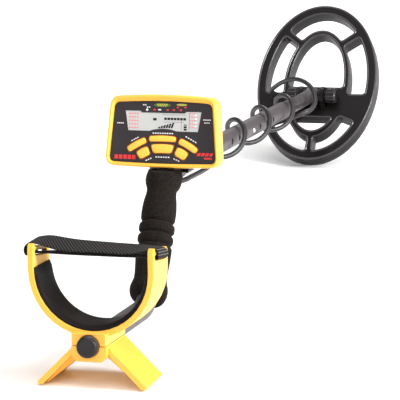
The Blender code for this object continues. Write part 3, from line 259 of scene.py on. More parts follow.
class Nodes:
    """Short-hand for wiring a Principled material."""

    def __init__(self, name, colour, roughness, metallic=0.0):
        self.material = bpy.data.materials.new(name)
        self.material.use_nodes = True
        self.tree = self.material.node_tree
        self.shader = self.tree.nodes["Principled BSDF"]
        put(self.shader, "Base Color", (*colour, 1))
        put(self.shader, "Roughness", roughness)
        put(self.shader, "Metallic", metallic)
        self.colour = colour
        self.roughness = roughness
        self.coordinates = self.tree.nodes.new("ShaderNodeTexCoord")

    def node(self, kind, **settings):
        made = self.tree.nodes.new(kind)
        for key, value in settings.items():
            setattr(made, key, value)
        return made

    def link(self, source, target):
        self.tree.links.new(source, target)

    def noise(self, scale, detail=4.0):
        made = self.node("ShaderNodeTexNoise")
        put(made, "Scale", scale)
        put(made, "Detail", detail)
        put(made, "Roughness", 0.6)
        self.link(self.coordinates.outputs["Object"], made.inputs["Vector"])
        return made.outputs["Fac"]

    def ramp(self, value, low, high, low_colour, high_colour):
        made = self.node("ShaderNodeValToRGB")
        made.color_ramp.elements[0].position = low
        made.color_ramp.elements[1].position = high
        made.color_ramp.elements[0].color = (*low_colour, 1)
        made.color_ramp.elements[1].color = (*high_colour, 1)
        self.link(value, made.inputs["Fac"])
        return made.outputs["Color"]

    def span(self, value, low, high):
        made = self.node("ShaderNodeMapRange")
        put(made, "From Min", 0.3)
        put(made, "From Max", 0.7)
        put(made, "To Min", low)
        put(made, "To Max", high)
        self.link(value, made.inputs["Value"])
        return made.outputs["Result"]

    def vary_colour(self, scale, amount):
        """Blotches of slightly lighter and darker colour."""
        darker = [c * (1 - amount) for c in self.colour]
        lighter = [min(1.0, c * (1 + amount)) for c in self.colour]
        self.link(self.ramp(self.noise(scale), 0.3, 0.7, darker, lighter), self.shader.inputs["Base Color"])

    def vary_roughness(self, scale, amount):
        low, high = max(0.02, self.roughness - amount), min(1.0, self.roughness + amount)
        self.link(self.span(self.noise(scale), low, high), self.shader.inputs["Roughness"])

    def bump(self, height, strength, distance):
        made = self.node("ShaderNodeBump")
        put(made, "Strength", strength)
        put(made, "Distance", distance)
        self.link(height, made.inputs["Height"])
        last = self.shader.inputs["Normal"].links
        if last:
            self.link(last[0].from_socket, made.inputs["Normal"])
        self.link(made.outputs["Normal"], self.shader.inputs["Normal"])


MATERIALS = {}


def plastic(name, colour, roughness, grain=900.0, depth=0.04, coat=0.0, specular=0.5, subsurface=0.0):
    """Moulded plastic: fine spark-eroded grain, faint colour drift and handling marks in the gloss."""
    made = Nodes(name, colour, roughness)
    made.vary_colour(18.0, 0.05)
    made.vary_roughness(45.0, 0.07)
    made.bump(made.noise(grain, 2.0), 0.35, depth * MM)
    put(made.shader, "Coat Weight", coat)
    put(made.shader, "Coat Roughness", 0.25)
    put(made.shader, "Specular IOR Level", specular)
    if subsurface:
        put(made.shader, "Subsurface Weight", subsurface)
        put(made.shader, "Subsurface Radius", (1.0, 0.45, 0.1))
        put(made.shader, "Subsurface Scale", 2.0 * MM)
    MATERIALS[name] = made.material
    return made


def metal(name, colour, roughness, brush=None, metallic=1.0):
    """Plated or anodised metal with fine drawn lines along the stem."""
    made = Nodes(name, colour, roughness, metallic)
    made.vary_colour(25.0, 0.04)
    made.vary_roughness(60.0, 0.06)
    if brush:
        stretch = made.node("ShaderNodeMapping")
        put(stretch, "Scale", brush)
        made.link(made.coordinates.outputs["Object"], stretch.inputs["Vector"])
        lines = made.node("ShaderNodeTexNoise")
        put(lines, "Scale", 400.0)
        made.link(stretch.outputs["Vector"], lines.inputs["Vector"])
        made.bump(lines.outputs["Fac"], 0.2, 0.03 * MM)
    MATERIALS[name] = made.material
    return made


def foam(name, colour):
    """Closed-cell foam: open cells in the skin and a coarse grain, dry and matt."""
    made = Nodes(name, colour, 0.92)
    cells = made.node("ShaderNodeTexVoronoi")
    put(cells, "Scale", 620.0)
    made.link(made.coordinates.outputs["Object"], cells.inputs["Vector"])
    made.bump(cells.outputs["Distance"], 0.8, 0.5 * MM)
    made.bump(made.noise(330.0, 3.0), 0.5, 0.5 * MM)
    mottle = made.node("ShaderNodeMath", operation="MULTIPLY")
    made.link(cells.outputs["Distance"], mottle.inputs[0])
    made.link(made.noise(420.0, 2.0), mottle.inputs[1])
    dark, pale = [[c * share for c in colour] for share in (0.4, 1.5)]
    speck = made.ramp(mottle.outputs["Value"], 0.08, 0.32, dark, pale)
    made.link(speck, made.shader.inputs["Base Color"])
    put(made.shader, "Specular IOR Level", 0.12)
    put(made.shader, "Sheen Weight", 0.02)
    put(made.shader, "Sheen Roughness", 0.5)
    MATERIALS[name] = made.material


def webbing(name, colour):
    """Woven strap: diagonal twill ribs from the strap's own length and width."""
    made = Nodes(name, colour, 0.85)
    weave = []
    for turn, scale in ((math.radians(35), 105.0), (math.radians(-55), 190.0)):
        slanted = made.node("ShaderNodeMapping")
        put(slanted, "Rotation", (0, 0, turn))
        made.link(made.coordinates.outputs["UV"], slanted.inputs["Vector"])
        wave = made.node("ShaderNodeTexWave")
        put(wave, "Scale", scale)
        put(wave, "Distortion", 0.6)
        put(wave, "Detail", 1.0)
        made.link(slanted.outputs["Vector"], wave.inputs["Vector"])
        weave.append(wave.outputs["Fac"])
    joined = made.node("ShaderNodeMath", operation="MULTIPLY")
    made.link(weave[0], joined.inputs[0])
    made.link(weave[1], joined.inputs[1])
    height = joined.outputs["Value"]
    made.bump(height, 0.9, 0.35 * MM)
    dark, pale = [[c * share for c in colour] for share in (0.25, 6.0)]
    made.link(made.ramp(height, 0.15, 0.75, dark, pale), made.shader.inputs["Base Color"])
    put(made.shader, "Specular IOR Level", 0.12)
    put(made.shader, "Sheen Weight", 0.03)
    put(made.shader, "Sheen Roughness", 0.4)
    MATERIALS[name] = made.material


def make_materials():
    plastic("yellow_plastic", (1.0, 0.50, 0.055), 0.38, 700.0, 0.035, 0.10, 0.45, subsurface=0.06)
    plastic("yellow_key", (1.0, 0.53, 0.060), 0.45, 800.0, 0.03, subsurface=0.08)
    # Deeper orange painted shade, for the key flanks and the rings round the keys.
    plastic("orange_painted_shade", (0.62, 0.14, 0.010), 0.5, 800.0, 0.03)
    plastic("black_plastic", (0.0085, 0.0070, 0.0070), 0.38, 650.0, 0.05, specular=0.26)
    plastic("coil_plastic", (0.0062, 0.0048, 0.0048), 0.34, 520.0, 0.04, specular=0.15)
    # Lighter than the coil plastic as a painted highlight on rounded edges and lips, and glossier.
    plastic("coil_edge_painted_highlight", (0.034, 0.029, 0.031), 0.22, 520.0, 0.02, specular=0.6)
    plastic("lower_tube", (0.050, 0.042, 0.045), 0.30, 600.0, 0.02, coat=0.1, specular=0.4)
    plastic("rubber", (0.012, 0.0105, 0.011), 0.42, 900.0, 0.05, specular=0.35)
    plastic("pad_skin", (0.008, 0.0055, 0.0052), 0.60, 500.0, 0.10, specular=0.15)
    plastic("cable_jacket", (0.024, 0.021, 0.023), 0.36, 500.0, 0.03, specular=0.4)
    plastic("label", (0.020, 0.0155, 0.0185), 0.50, 1200.0, 0.015, specular=0.35)
    plastic("lcd_glass", (0.47, 0.475, 0.465), 0.16, 400.0, 0.004, coat=0.4)
    plastic("lcd_segment", (0.008, 0.006, 0.006), 0.35, 900.0, 0.004, specular=0.2)
    for ink, colour in (
            ("white", (0.82, 0.82, 0.82)),
            ("red", (0.68, 0.018, 0.020)),
            ("pink", (0.68, 0.16, 0.16)),
            ("green", (0.06, 0.13, 0.02)),
            ("yellow", (0.72, 0.60, 0.05)),
            ("olive", (0.40, 0.36, 0.05)),
            ("grey", (0.16, 0.14, 0.14))):
        plastic("print_" + ink, colour, 0.5, 1200.0, 0.01)
    plastic("thread", (0.20, 0.19, 0.18), 0.7, 1200.0, 0.02)
    plastic("board", (0.02, 0.16, 0.07), 0.55)
    plastic("cell_wrap", (0.05, 0.09, 0.16), 0.35)
    metal("grey_tube", (0.085, 0.072, 0.076), 0.42, brush=(1, 0.02, 1), metallic=0.25)
    metal("steel", (0.72, 0.72, 0.73), 0.24)
    metal("copper", (0.72, 0.36, 0.16), 0.35)
    foam("foam", (0.0085, 0.0064, 0.0054))
    webbing("webbing", (0.010, 0.0088, 0.0088))


# ---------------------------------------------------------------- mesh helpers

def piece(name, bm, space, body, material, replaces=(), sharp=35.0, smooth=True):
    """A finished mesh, carried from its own frame into the row frame and set on its body."""
    bmesh.ops.recalc_face_normals(bm, faces=bm.faces)
    bmesh.ops.transform(bm, matrix=space, verts=bm.verts)
    ob = new_object(name, bm)
    ob.data.materials.append(MATERIALS[material])
    if smooth:
        ob.data.shade_smooth()
        ob.data.set_sharp_from_angle(angle=math.radians(sharp))
    if body:
        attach(ob, body)
    if replaces:
        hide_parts(*replaces)
    return ob


def loft(bm, rings, loop=False):
    """Skin rings of equal length; the ends are capped unless the rings form a loop."""
    rows = [[bm.verts.new(point) for point in ring] for ring in rings]
    count = len(rows[0])
    pairs = list(zip(rows, rows[1:]))
    if loop:
        pairs.append((rows[-1], rows[0]))
    for lower, upper in pairs:
        for i in range(count):
            j = (i + 1) % count
            bm.faces.new((lower[i], lower[j], upper[j], upper[i]))
    if not loop:
        bm.faces.new(list(reversed(rows[0])))
        bm.faces.new(rows[-1])
    return rows


def circle(centre, radius, across, up, sides):
    points = []
    for i in range(sides):
        angle = 2 * math.pi * i / sides
        points.append(centre + across * (radius * math.cos(angle)) + up * (radius * math.sin(angle)))
    return points


def rounded_path(corners, radius, steps):
    """A polyline through the corners with each inner corner rounded to an arc."""
    path = [corners[0].copy()]
    for before, corner, after in zip(corners, corners[1:], corners[2:]):
        inward = (before - corner).normalized()
        outward = (after - corner).normalized()
        half = inward.angle(outward) / 2
        setback = radius / math.tan(half)
        centre = corner + (inward + outward).normalized() * (radius / math.sin(half))
        start = corner + inward * setback - centre
        normal = start.cross(outward).normalized()
        sweep = math.pi - 2 * half
        for i in range(steps + 1):
            path.append(centre + Matrix.Rotation(sweep * i / steps, 3, normal) @ start)
    path.append(corners[-1].copy())
    return path


def path_rings(path, radii, sides):
    """Rings square to a path that lies in the plane X = 0."""
    across = Vector((1, 0, 0))
    rings = []
    for i, (point, radius) in enumerate(zip(path, radii)):
        ahead = path[min(i + 1, len(path) - 1)] - path[max(i - 1, 0)]
        up = across.cross(ahead.normalized())
        rings.append(circle(point, radius, across, up, sides))
    return rings


def resample(points, spacing):
    """Points at even spacing along an open polyline, both ends kept."""
    total = sum((b - a).length for a, b in zip(points, points[1:]))
    count = max(2, round(total / spacing))
    step = total / count
    out = [points[0]]
    carried = 0.0
    for a, b in zip(points, points[1:]):
        length = (b - a).length
        while carried + length >= step * len(out) and len(out) < count:
            out.append(a.lerp(b, (step * len(out) - carried) / length))
        carried += length
    out.append(points[-1])
    return out


def curve_point(a, b, c, d, t):
    """The point at share t between b and c on a Catmull-Rom curve through a, b, c and d."""
    return 0.5 * ((2 * b) + (c - a) * t + (2 * a - 5 * b + 4 * c - d) * t ** 2
                  + (3 * b - a - 3 * c + d) * t ** 3)


def smooth_curve(points, spacing):
    """A Catmull-Rom curve through the points, sampled at about the given spacing."""
    padded = [points[0] * 2 - points[1]] + list(points) + [points[-1] * 2 - points[-2]]
    fine = []
    for a, b, c, d in zip(padded, padded[1:], padded[2:], padded[3:]):
        fine += [curve_point(a, b, c, d, k / 12) for k in range(12)]
    fine.append(points[-1])
    return resample(fine, spacing)


def through(points, x):
    """The value at x on straight lines between (x, value) points."""
    for (low, first), (high, second) in zip(points, points[1:]):
        if x <= high:
            return first + (second - first) * (x - low) / (high - low)
    return points[-1][1]


def refine(node, material, bevel, segments=3, limit=28.0, edge=None):
    """A new piece with the CAD node's shape, its flats rejoined and its edges rounded; edge names a glossier
    edge material, lightened as a painted highlight.
    """
    bm = bmesh.new()
    bm.from_mesh(frame["nodes"][node].data)
    bmesh.ops.remove_doubles(bm, verts=bm.verts, dist=2e-6)
    bmesh.ops.dissolve_limit(bm, angle_limit=math.radians(0.6), verts=bm.verts, edges=bm.edges)
    body = frame["nodes"][node]["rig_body"]
    ob = piece(node + "_finish", bm, Matrix.Identity(4), body, material, (node,))
    round_edges(ob, bevel, segments, limit, edge)
    return ob


def round_edges(ob, bevel, segments, limit, edge=None):
    """Round what turns sharper than the limit, keeping the flats flat; edge names a glossier material for
    the rounds, lighter as a painted highlight.
    """
    rounding = ob.modifiers.new("edges", "BEVEL")
    rounding.width = bevel
    rounding.segments = segments
    rounding.limit_method = "ANGLE"
    rounding.angle_limit = math.radians(limit)
    rounding.miter_outer = "MITER_ARC"
    # The bevel faces take the edge material, whose lighter colour is a painted highlight.
    if edge:
        ob.data.materials.append(MATERIALS[edge])
        rounding.material = 1
    weighted = ob.modifiers.new("flats", "WEIGHTED_NORMAL")
    weighted.keep_sharp = False
    weighted.weight = 90


# ---------------------------------------------------------------- tubes and grip

def handle_path(front):
    return rounded_path([REAR_END, LOWER_BEND, UPPER_BEND, Vector((0, front, 0))], BEND_RADIUS, 20)


GRIP_PROFILE = (
    # Distance up the handle and outer radius in millimetres: bulb, palm, three grooves, waist, upper bulb.
    (0, 13.5), (0.8, 15.6), (2.2, 17.6), (4.5, 19.3), (8, 20.4), (12, 20.7), (16, 20.2), (20, 18.9),
    (24, 17.8), (29, 17.6), (36, 18.1), (46, 18.9), (55, 19.2), (59.5, 19.0), (61.4, 17.6),
    (62.5, 16.2), (63.6, 17.6), (65.5, 19.2), (68.5, 19.5), (71.5, 19.1), (73.4, 17.4), (74.5, 15.9),
    (75.6, 17.4), (77.5, 19.2), (81, 19.6), (84.5, 19.1), (86.4, 17.2), (87.5, 15.9), (88.6, 17.2),
    (91, 18.6), (97, 18.9), (104, 18.7), (112, 17.8), (119, 16.5), (124, 16.2), (127, 17.0),
    (130, 18.5), (134, 19.5), (139, 19.8), (144, 19.4), (150, 18.4), (156, 17.5))


def foam_grip():
    """The moulded grip, its skin dense enough for the rings and faintly uneven."""
    bends = handle_path(SWAGE_START)[1:-1]
    route = bends[12:34]
    stations = resample(route, 0.9 * MM)
    length = sum((b - a).length for a, b in zip(stations, stations[1:]))
    step = length / (len(stations) - 1)
    radii = [through(GRIP_PROFILE, step * i / MM) * MM for i in range(len(stations))]
    outer = path_rings(stations, radii, 72)
    inner = path_rings(route, [TUBE_RADIUS + 0.2 * MM] * len(route), 72)
    bm = bmesh.new()
    rows = loft(bm, outer + inner[::-1], loop=True)
    for row in rows[:len(stations)]:
        for vert in row:
            vert.co += vert.co.normalized() * (noise.noise(vert.co * 90) * 0.25 * MM)
    for vert in bm.verts:
        vert.co.z = min(vert.co.z, GRIP_TOP_Z)
    piece("foam_grip_skin", bm, STEM, "upper_stem", "foam", ("foam_grip",), sharp=60)


def tubes():
    refine("middle_stem", "grey_tube", 0.25 * MM, 2, 40)
    refine("lower_stem", "lower_tube", 0.4 * MM, 2, 40)
    refine("upper_stem", "grey_tube", 0.25 * MM, 2, 40)
    refine("locking_collar", "black_plastic", 0.5 * MM)
    for which in ("upper", "lower"):
        for side in ("left", "right"):
            refine(f"{which}_snap_button_{side}", "steel", 0.4 * MM, 3)


def tube_end_plug():
    """Domed rubber plug with a raised lip and a shallow dish."""
    bm = bmesh.new()
    rear = REAR_END.y
    profile = [(-4.9, 0.01), (-5.0, 3.0), (-5.3, 6.0), (-5.5, 8.2), (-5.2, 9.4), (-4.4, 10.3), (-3.2, 10.8),
               (-1.6, 11.1), (-0.35, 11.1), (-0.3, 9.4), (10.0, 9.2), (10.0, 0.01)]
    loft(bm, [circle(Vector((0, rear + distance * MM, ARM_Z)), radius * MM, Vector((0, 0, 1)),
                     Vector((1, 0, 0)), 64) for distance, radius in profile])
    piece("tube_end_plug_dome", bm, STEM, "upper_stem", "rubber", ("tube_end_plug",))


# ---------------------------------------------------------------- cuff, pad and strap

def cuff_point(radius, y, angle, drop):
    return Vector((radius * math.cos(angle), y, CUFF_CENTRE_Z + radius * math.sin(angle) + drop))


def cuff_pad():
    """Soft pad in the cuff: crowned across its width, its edges rolled over."""
    rows = []
    across = 22
    along = 64
    rear, front = CUFF_REAR + 1.6 * MM, CUFF_FRONT - 1.6 * MM
    outer = CUFF_INNER - 0.35 * MM
    for i in range(along + 1):
        angle = -math.pi * i / along
        drop = (PAD_TOP_Z - CUFF_CENTRE_Z) if i in (0, along) else 0.0
        ring = []
        for k in range(across + 1):
            t = k / across
            y = rear + (front - rear) * t
            edge = min(1.0, 8 * min(t, 1 - t))
            roll = math.sqrt(1 - (1 - edge) ** 2)
            end = min(1.0, 14 * min(i, along - i) / along)
            roll_end = math.sqrt(1 - (1 - end) ** 2)
            crown = 0.8 * MM * (1 - (2 * t - 1) ** 2)
            thick = (PAD_THICKNESS - 1.0 * MM + crown) * min(roll, 0.25 + 0.75 * roll_end)
            thick += 0.12 * MM * noise.noise(Vector((angle * 6, y * 60, 3.1)))
            radius = outer - max(0.5 * MM, thick)
            ring.append(cuff_point(radius, y, angle, drop))
        ring += [cuff_point(outer, y, angle, drop) for y in (front, rear)]
        rows.append(ring)
    bm = bmesh.new()
    loft(bm, rows)
    pad = piece("cuff_pad_foam", bm, STEM, "arm_cuff", "pad_skin", ("cuff_pad",), sharp=50)


STRAP_ROUTE = (
    # x, z of the rear edge and z of the front edge: over both bars, round the left one and back
    # through the slots.
    (68.0, -39.8, -43.6), (66.9, -37.4, -41.2), (64.0, -36.4, -40.0), (59.5, -36.9, -39.4),
    (54, -39.0, -39.2), (46, -41.2, -38.6), (34, -42.6, -38.2), (18, -42.6, -37.8), (4, -42.2, -37.3),
    (-10, -42.5, -36.8), (-26, -42.3, -36.0), (-40, -40.8, -34.5), (-50, -38.2, -33.2),
    (-57, -36.3, -33.0), (-62.5, -35.8, -33.8), (-67.8, -36.2, -35.2), (-71.4, -39.3, -38.6),
    (-72.4, -43.5, -43.0), (-71.0, -47.6, -47.8), (-68.2, -47.8, -49.8), (-65.0, -46.0, -49.8),
    (-58, -45.0, -49.0), (-48, -44.9, -48.3), (-34, -45.2, -47.6), (-14, -45.5, -46.8),
    (8, -45.5, -46.6), (30, -45.4, -47.2), (48, -45.1, -48.4), (58, -45.1, -49.1), (63.5, -45.6, -49.6),
    (66.6, -46.3, -50.3), (68.2, -44.7, -48.7), (68.3, -42.2, -46.2))
STRAP_EDGES = (-242.0, -210.0)
SEAMS = (-1, 0, 1)
STITCHES_PER_SEAM = 14
STITCH_RADIUS = 0.32 * MM


def band(rear, front):
    """A closed loop of webbing between two edge lines, flat and oval in section, and its length."""
    count = len(rear)
    half = STRAP_THICKNESS / 2
    steps = [0.0, 0.02, 0.06, 0.14, 0.3, 0.5, 0.7, 0.86, 0.94, 0.98, 1.0]
    spread = [t * STRAP_WIDTH for t in steps] + [t * STRAP_WIDTH for t in steps[::-1]]
    bm = bmesh.new()
    uv = bm.loops.layers.uv.new("UVMap")
    rows, travelled = [], [0.0]
    for i in range(count):
        after = (i + 1) % count
        ahead = (rear[after] + front[after] - rear[i - 1] - front[i - 1]).normalized()
        normal = (front[i] - rear[i]).normalized().cross(ahead).normalized()
        ring = []
        for side in (1, -1):
            for t in (steps if side > 0 else steps[::-1]):
                swell = math.sqrt(max(0.0, 1 - abs(2 * t - 1) ** 8))
                ring.append(rear[i].lerp(front[i], t) + normal * (side * half * max(0.3, swell)))
        rows.append([bm.verts.new(p) for p in ring])
        if i:
            travelled.append(travelled[-1] + (rear[i] + front[i] - rear[i - 1] - front[i - 1]).length / 2)
    sides = len(rows[0])
    travelled.append(travelled[-1] + (rear[0] - rear[-1]).length)
    for i in range(count):
        j = (i + 1) % count
        end = travelled[i + 1]
        for k in range(sides):
            n = (k + 1) % sides
            face = bm.faces.new((rows[i][k], rows[i][n], rows[j][n], rows[j][k]))
            places = ((travelled[i], spread[k]), (travelled[i], spread[n]),
                      (end, spread[n]), (end, spread[k]))
            for loop, place in zip(face.loops, places):
                loop[uv].uv = place
    ob = piece("cuff_strap_webbing", bm, STEM, "arm_cuff", "webbing", ("cuff_strap",), sharp=70)
    return ob, travelled[-1]


def cuff_strap():
    """The band round both bars and the three seams that close it on the right bar."""
    rear, front = [[Vector((x, y, (low, high)[k])) * MM for x, low, high in STRAP_ROUTE]
                   for k, y in enumerate(STRAP_EDGES)]
    loops = [closed_curve(line, 4) for line in (rear, front)]
    strap, length = band(*loops)
    bm = bmesh.new()
    for i in SEAMS:
        outward = Vector((1, 0, 0.5 * (i + 1))).normalized() * (STRAP_THICKNESS / 2 + 0.05 * MM)
        start, stop = rear[i] + outward, front[i] + outward
        for k in range(STITCHES_PER_SEAM):
            ends = [start.lerp(stop, (k + share) / STITCHES_PER_SEAM) for share in (0.15, 0.8)]
            across = outward.cross(stop - start).normalized()
            loft(bm, [circle(end, STITCH_RADIUS, across, outward.normalized(), 6) for end in ends])
    seams = piece("cuff_strap_stitching", bm, STEM, "arm_cuff", "thread")


def closed_curve(points, steps):
    """A closed Catmull-Rom curve with a fixed number of samples to each span."""
    count = len(points)
    out = []
    for i in range(count):
        a, b, c, d = points[i - 1], points[i], points[(i + 1) % count], points[(i + 2) % count]
        out += [curve_point(a, b, c, d, k / steps) for k in range(steps)]
    return out


def cuff_and_stand():
    refine("arm_cuff", "yellow_plastic", 0.9 * MM, 4)
    refine("stand", "yellow_plastic", 0.9 * MM, 4)
    refine("cuff_bolt", "steel", 0.3 * MM)
    refine("cuff_nut", "steel", 0.3 * MM)


# ---------------------------------------------------------------- control box

def panel_outline(half_low, half_high, low, high, bulge_low, bulge_high, corner,
                  corner_steps=12, edge_steps=14):
    """A rounded trapezoid with bowed top and bottom edges, as a loop of 2D points."""
    corners = [Vector((half_low, low)), Vector((half_high, high)), Vector((-half_high, high)),
               Vector((-half_low, low))]
    bulges = [0.0, bulge_high, 0.0, -bulge_low]
    points = []
    for i, here in enumerate(corners):
        back = (corners[i - 1] - here).normalized()
        ahead = (corners[(i + 1) % 4] - here).normalized()
        first = here + back * corner
        last = here + ahead * corner
        for k in range(corner_steps + 1):
            t = k / corner_steps
            points.append(first * (1 - t) ** 2 + here * (2 * t * (1 - t)) + last * t ** 2)
        stop = corners[(i + 1) % 4] - ahead * corner
        for k in range(1, edge_steps):
            t = k / edge_steps
            point = last.lerp(stop, t)
            points.append(point + Vector((0, bulges[i] * 4 * t * (1 - t))))
    return [tuple(p) for p in points]


def outer_outline(inset=0.0):
    return panel_outline(65.0 * MM - inset, 59.5 * MM - inset, -38.0 * MM + inset, 38.6 * MM - inset,
                         1.0 * MM, 1.8 * MM, 12 * MM - inset)


def label_outline(inset=0.0):
    return panel_outline(60.5 * MM - inset, 55.0 * MM - inset, -33.5 * MM + inset, 31.5 * MM - inset,
                         1.0 * MM, 1.6 * MM, 7 * MM)


def lcd_outline(inset=0.0):
    """The window: a notch hangs into its top edge and a low arch rises from its bottom edge."""
    low, high = 0.8 * MM + inset, 22.2 * MM - inset
    half_low, half_high = 39.5 * MM - inset, 43.0 * MM - inset
    notch = 24 * MM + inset
    arch = [(x * MM, low + (2.6 * MM + inset) * (1 - (x / 15) ** 2)) for x in range(-15, 16, 3)]
    top = [(notch + 2 * MM, high), (notch, high - 1.8 * MM), (-notch, high - 1.8 * MM),
           (-notch - 2 * MM, high)]
    return arch + [(half_low, low), (half_high, high)] + top + [(-half_high, high), (-half_low, low)]


def key_outline(key, grow=0.0):
    """A rounded bar whose upper edge bows up, turned about its centre."""
    x, y, half_x, half_y, turn, taper = KEYS[key]
    half_x = half_x * MM + grow
    half_y = half_y * MM + grow
    corner = min(3.4 * MM, 0.95 * half_y)
    shape = panel_outline(half_x * (1 - taper), half_x * (1 + taper), -half_y, half_y, -0.02 * half_x,
                          0.05 * half_x, corner, 8, 8)
    turn_matrix = Matrix.Rotation(math.radians(turn), 2)
    return [tuple(turn_matrix @ Vector(p) + Vector((x, y)) * MM) for p in shape]


def face_holes(clearance):
    """Outlines of the window, with a clearance, and of the six key holes."""
    return [lcd_outline(-clearance)] + [key_outline(key, KEY_GAP) for key in KEYS]


def ring_at(outline, z):
    return [Vector((x, y, z)) for x, y in outline]


def ring_verts(bm, outline, z):
    return [bm.verts.new(point) for point in ring_at(outline, z)]


def face_with_holes(bm, boundary, hole_rings):
    edges = []
    for verts in [boundary] + hole_rings:
        for i in range(len(verts)):
            edges.append(bm.edges.get((verts[i - 1], verts[i])) or bm.edges.new((verts[i - 1], verts[i])))
    bmesh.ops.triangle_fill(bm, edges=edges, use_beauty=True)


def bridge_rings(bm, lower, upper):
    for i in range(len(lower)):
        bm.faces.new((lower[i - 1], lower[i], upper[i], upper[i - 1]))


def front_housing():
    """The yellow frame: rolled rim, dished hood down to the label, side walls with a parting line."""
    holes = face_holes(0.3 * MM)
    levels = [(0.4, -18.0), (0.1, -17.8), (0.0, -17.4), (0.0, -15.4), (0.35, -15.2), (0.35, -14.7),
              (0.0, -14.5), (0.0, -1.2), (0.12, 0.2), (0.45, 1.5), (0.8, 2.3), (1.2, 2.85), (1.6, 3.15),
              (2.1, 3.25), (2.6, 3.1)]
    shells = [(outer_outline(BOX_WALL), z) for z in (PANEL_BACK_Z, FRONT_BACK_Z)]
    shells += [(outer_outline(inset * MM), z * MM) for inset, z in levels]
    shells += [(label_outline(grow * MM), z * MM) for grow, z in ((-0.9, 1.5), (-0.35, 0.9), (-0.15, 0.4),
                                                                  (-0.1, -0.1), (-0.1, -0.5))]
    shells.append((label_outline(-0.1 * MM), POCKET_Z))
    bm = bmesh.new()
    rows = [ring_verts(bm, outline, z) for outline, z in shells]
    for lower, upper in zip(rows, rows[1:]):
        bridge_rings(bm, lower, upper)
    front_holes = [ring_verts(bm, hole, POCKET_Z) for hole in holes]
    back_holes = [ring_verts(bm, hole, PANEL_BACK_Z) for hole in holes]
    for lower, upper in zip(back_holes, front_holes):
        bridge_rings(bm, lower, upper)
    face_with_holes(bm, rows[-1], front_holes)
    face_with_holes(bm, rows[0], back_holes)
    housing = piece("front_housing_shell", bm, FACE, "upper_stem", "yellow_plastic",
                    ("front_housing",), sharp=40)
    cut(housing, stem_cutter())


def stem_cutter():
    """The space the box leaves for the bent stem."""
    bm = bmesh.new()
    path = handle_path(60 * MM)[22:]
    loft(bm, path_rings(path, [TUBE_RADIUS + 3.6 * MM] * len(path), 48))
    bmesh.ops.transform(bm, matrix=STEM, verts=bm.verts)
    bmesh.ops.recalc_face_normals(bm, faces=bm.faces)
    return new_object("front_housing_tunnel", bm)


def cut(ob, cutter):
    """Subtract a cutter for good and remove it."""
    modifier = ob.modifiers.new("cut", "BOOLEAN")
    modifier.operation = "DIFFERENCE"
    modifier.solver = "EXACT"
    modifier.object = cutter
    depsgraph = bpy.context.evaluated_depsgraph_get()
    mesh = bpy.data.meshes.new_from_object(ob.evaluated_get(depsgraph))
    ob.modifiers.clear()
    ob.data = mesh
    bpy.data.objects.remove(cutter)


def label_plate():
    outlines = [label_outline(0.1 * MM)] + face_holes(0.1 * MM)
    bm = bmesh.new()
    ends = []
    for level in (LABEL_Z - LABEL_THICKNESS, LABEL_Z):
        loops = [ring_verts(bm, outline, level) for outline in outlines]
        face_with_holes(bm, loops[0], loops[1:])
        ends.append(loops)
    for lower, upper in zip(*ends):
        bridge_rings(bm, lower, upper)
    piece("label_overlay", bm, FACE, "upper_stem", "label", ("label_plate",))


def bar(centre, length, height, turn=0.0, slant=0.0):
    """Outline of a slim bar; slant leans its ends."""
    x, y = centre
    half_x, half_y = length / 2, height / 2
    lean = math.tan(math.radians(slant)) * half_y
    corners = [(-half_x - lean, -half_y), (half_x - lean, -half_y), (half_x + lean, half_y),
               (-half_x + lean, half_y)]
    turn_matrix = Matrix.Rotation(math.radians(turn), 2)
    return [tuple((turn_matrix @ Vector(c) + Vector((x, y))) * MM) for c in corners]


def oval(centre, length, height, count=20):
    x, y = centre
    return [((x + length / 2 * math.cos(2 * math.pi * i / count)) * MM,
             (y + height / 2 * math.sin(2 * math.pi * i / count)) * MM) for i in range(count)]


def printed(name, outlines, z, material):
    """Thin printed shapes that stand just proud of their surface."""
    bm = bmesh.new()
    low = z + INK_LIFT
    for outline in outlines:
        loft(bm, [ring_at(outline, level) for level in (low, low + INK_THICKNESS)])
    piece(name, bm, FACE, "upper_stem", material, smooth=False)


def dashes(centre, length, height, count, turn=0.0):
    """A row of short plain strokes, where the object carries small print."""
    out = []
    pitch = length / count
    direction = Matrix.Rotation(math.radians(turn), 2) @ Vector((1, 0))
    for i in range(count):
        offset = (i + 0.5) * pitch - length / 2
        here = Vector(centre) + direction * offset
        out.append(bar(tuple(here), pitch * 0.62, height, turn))
    return out


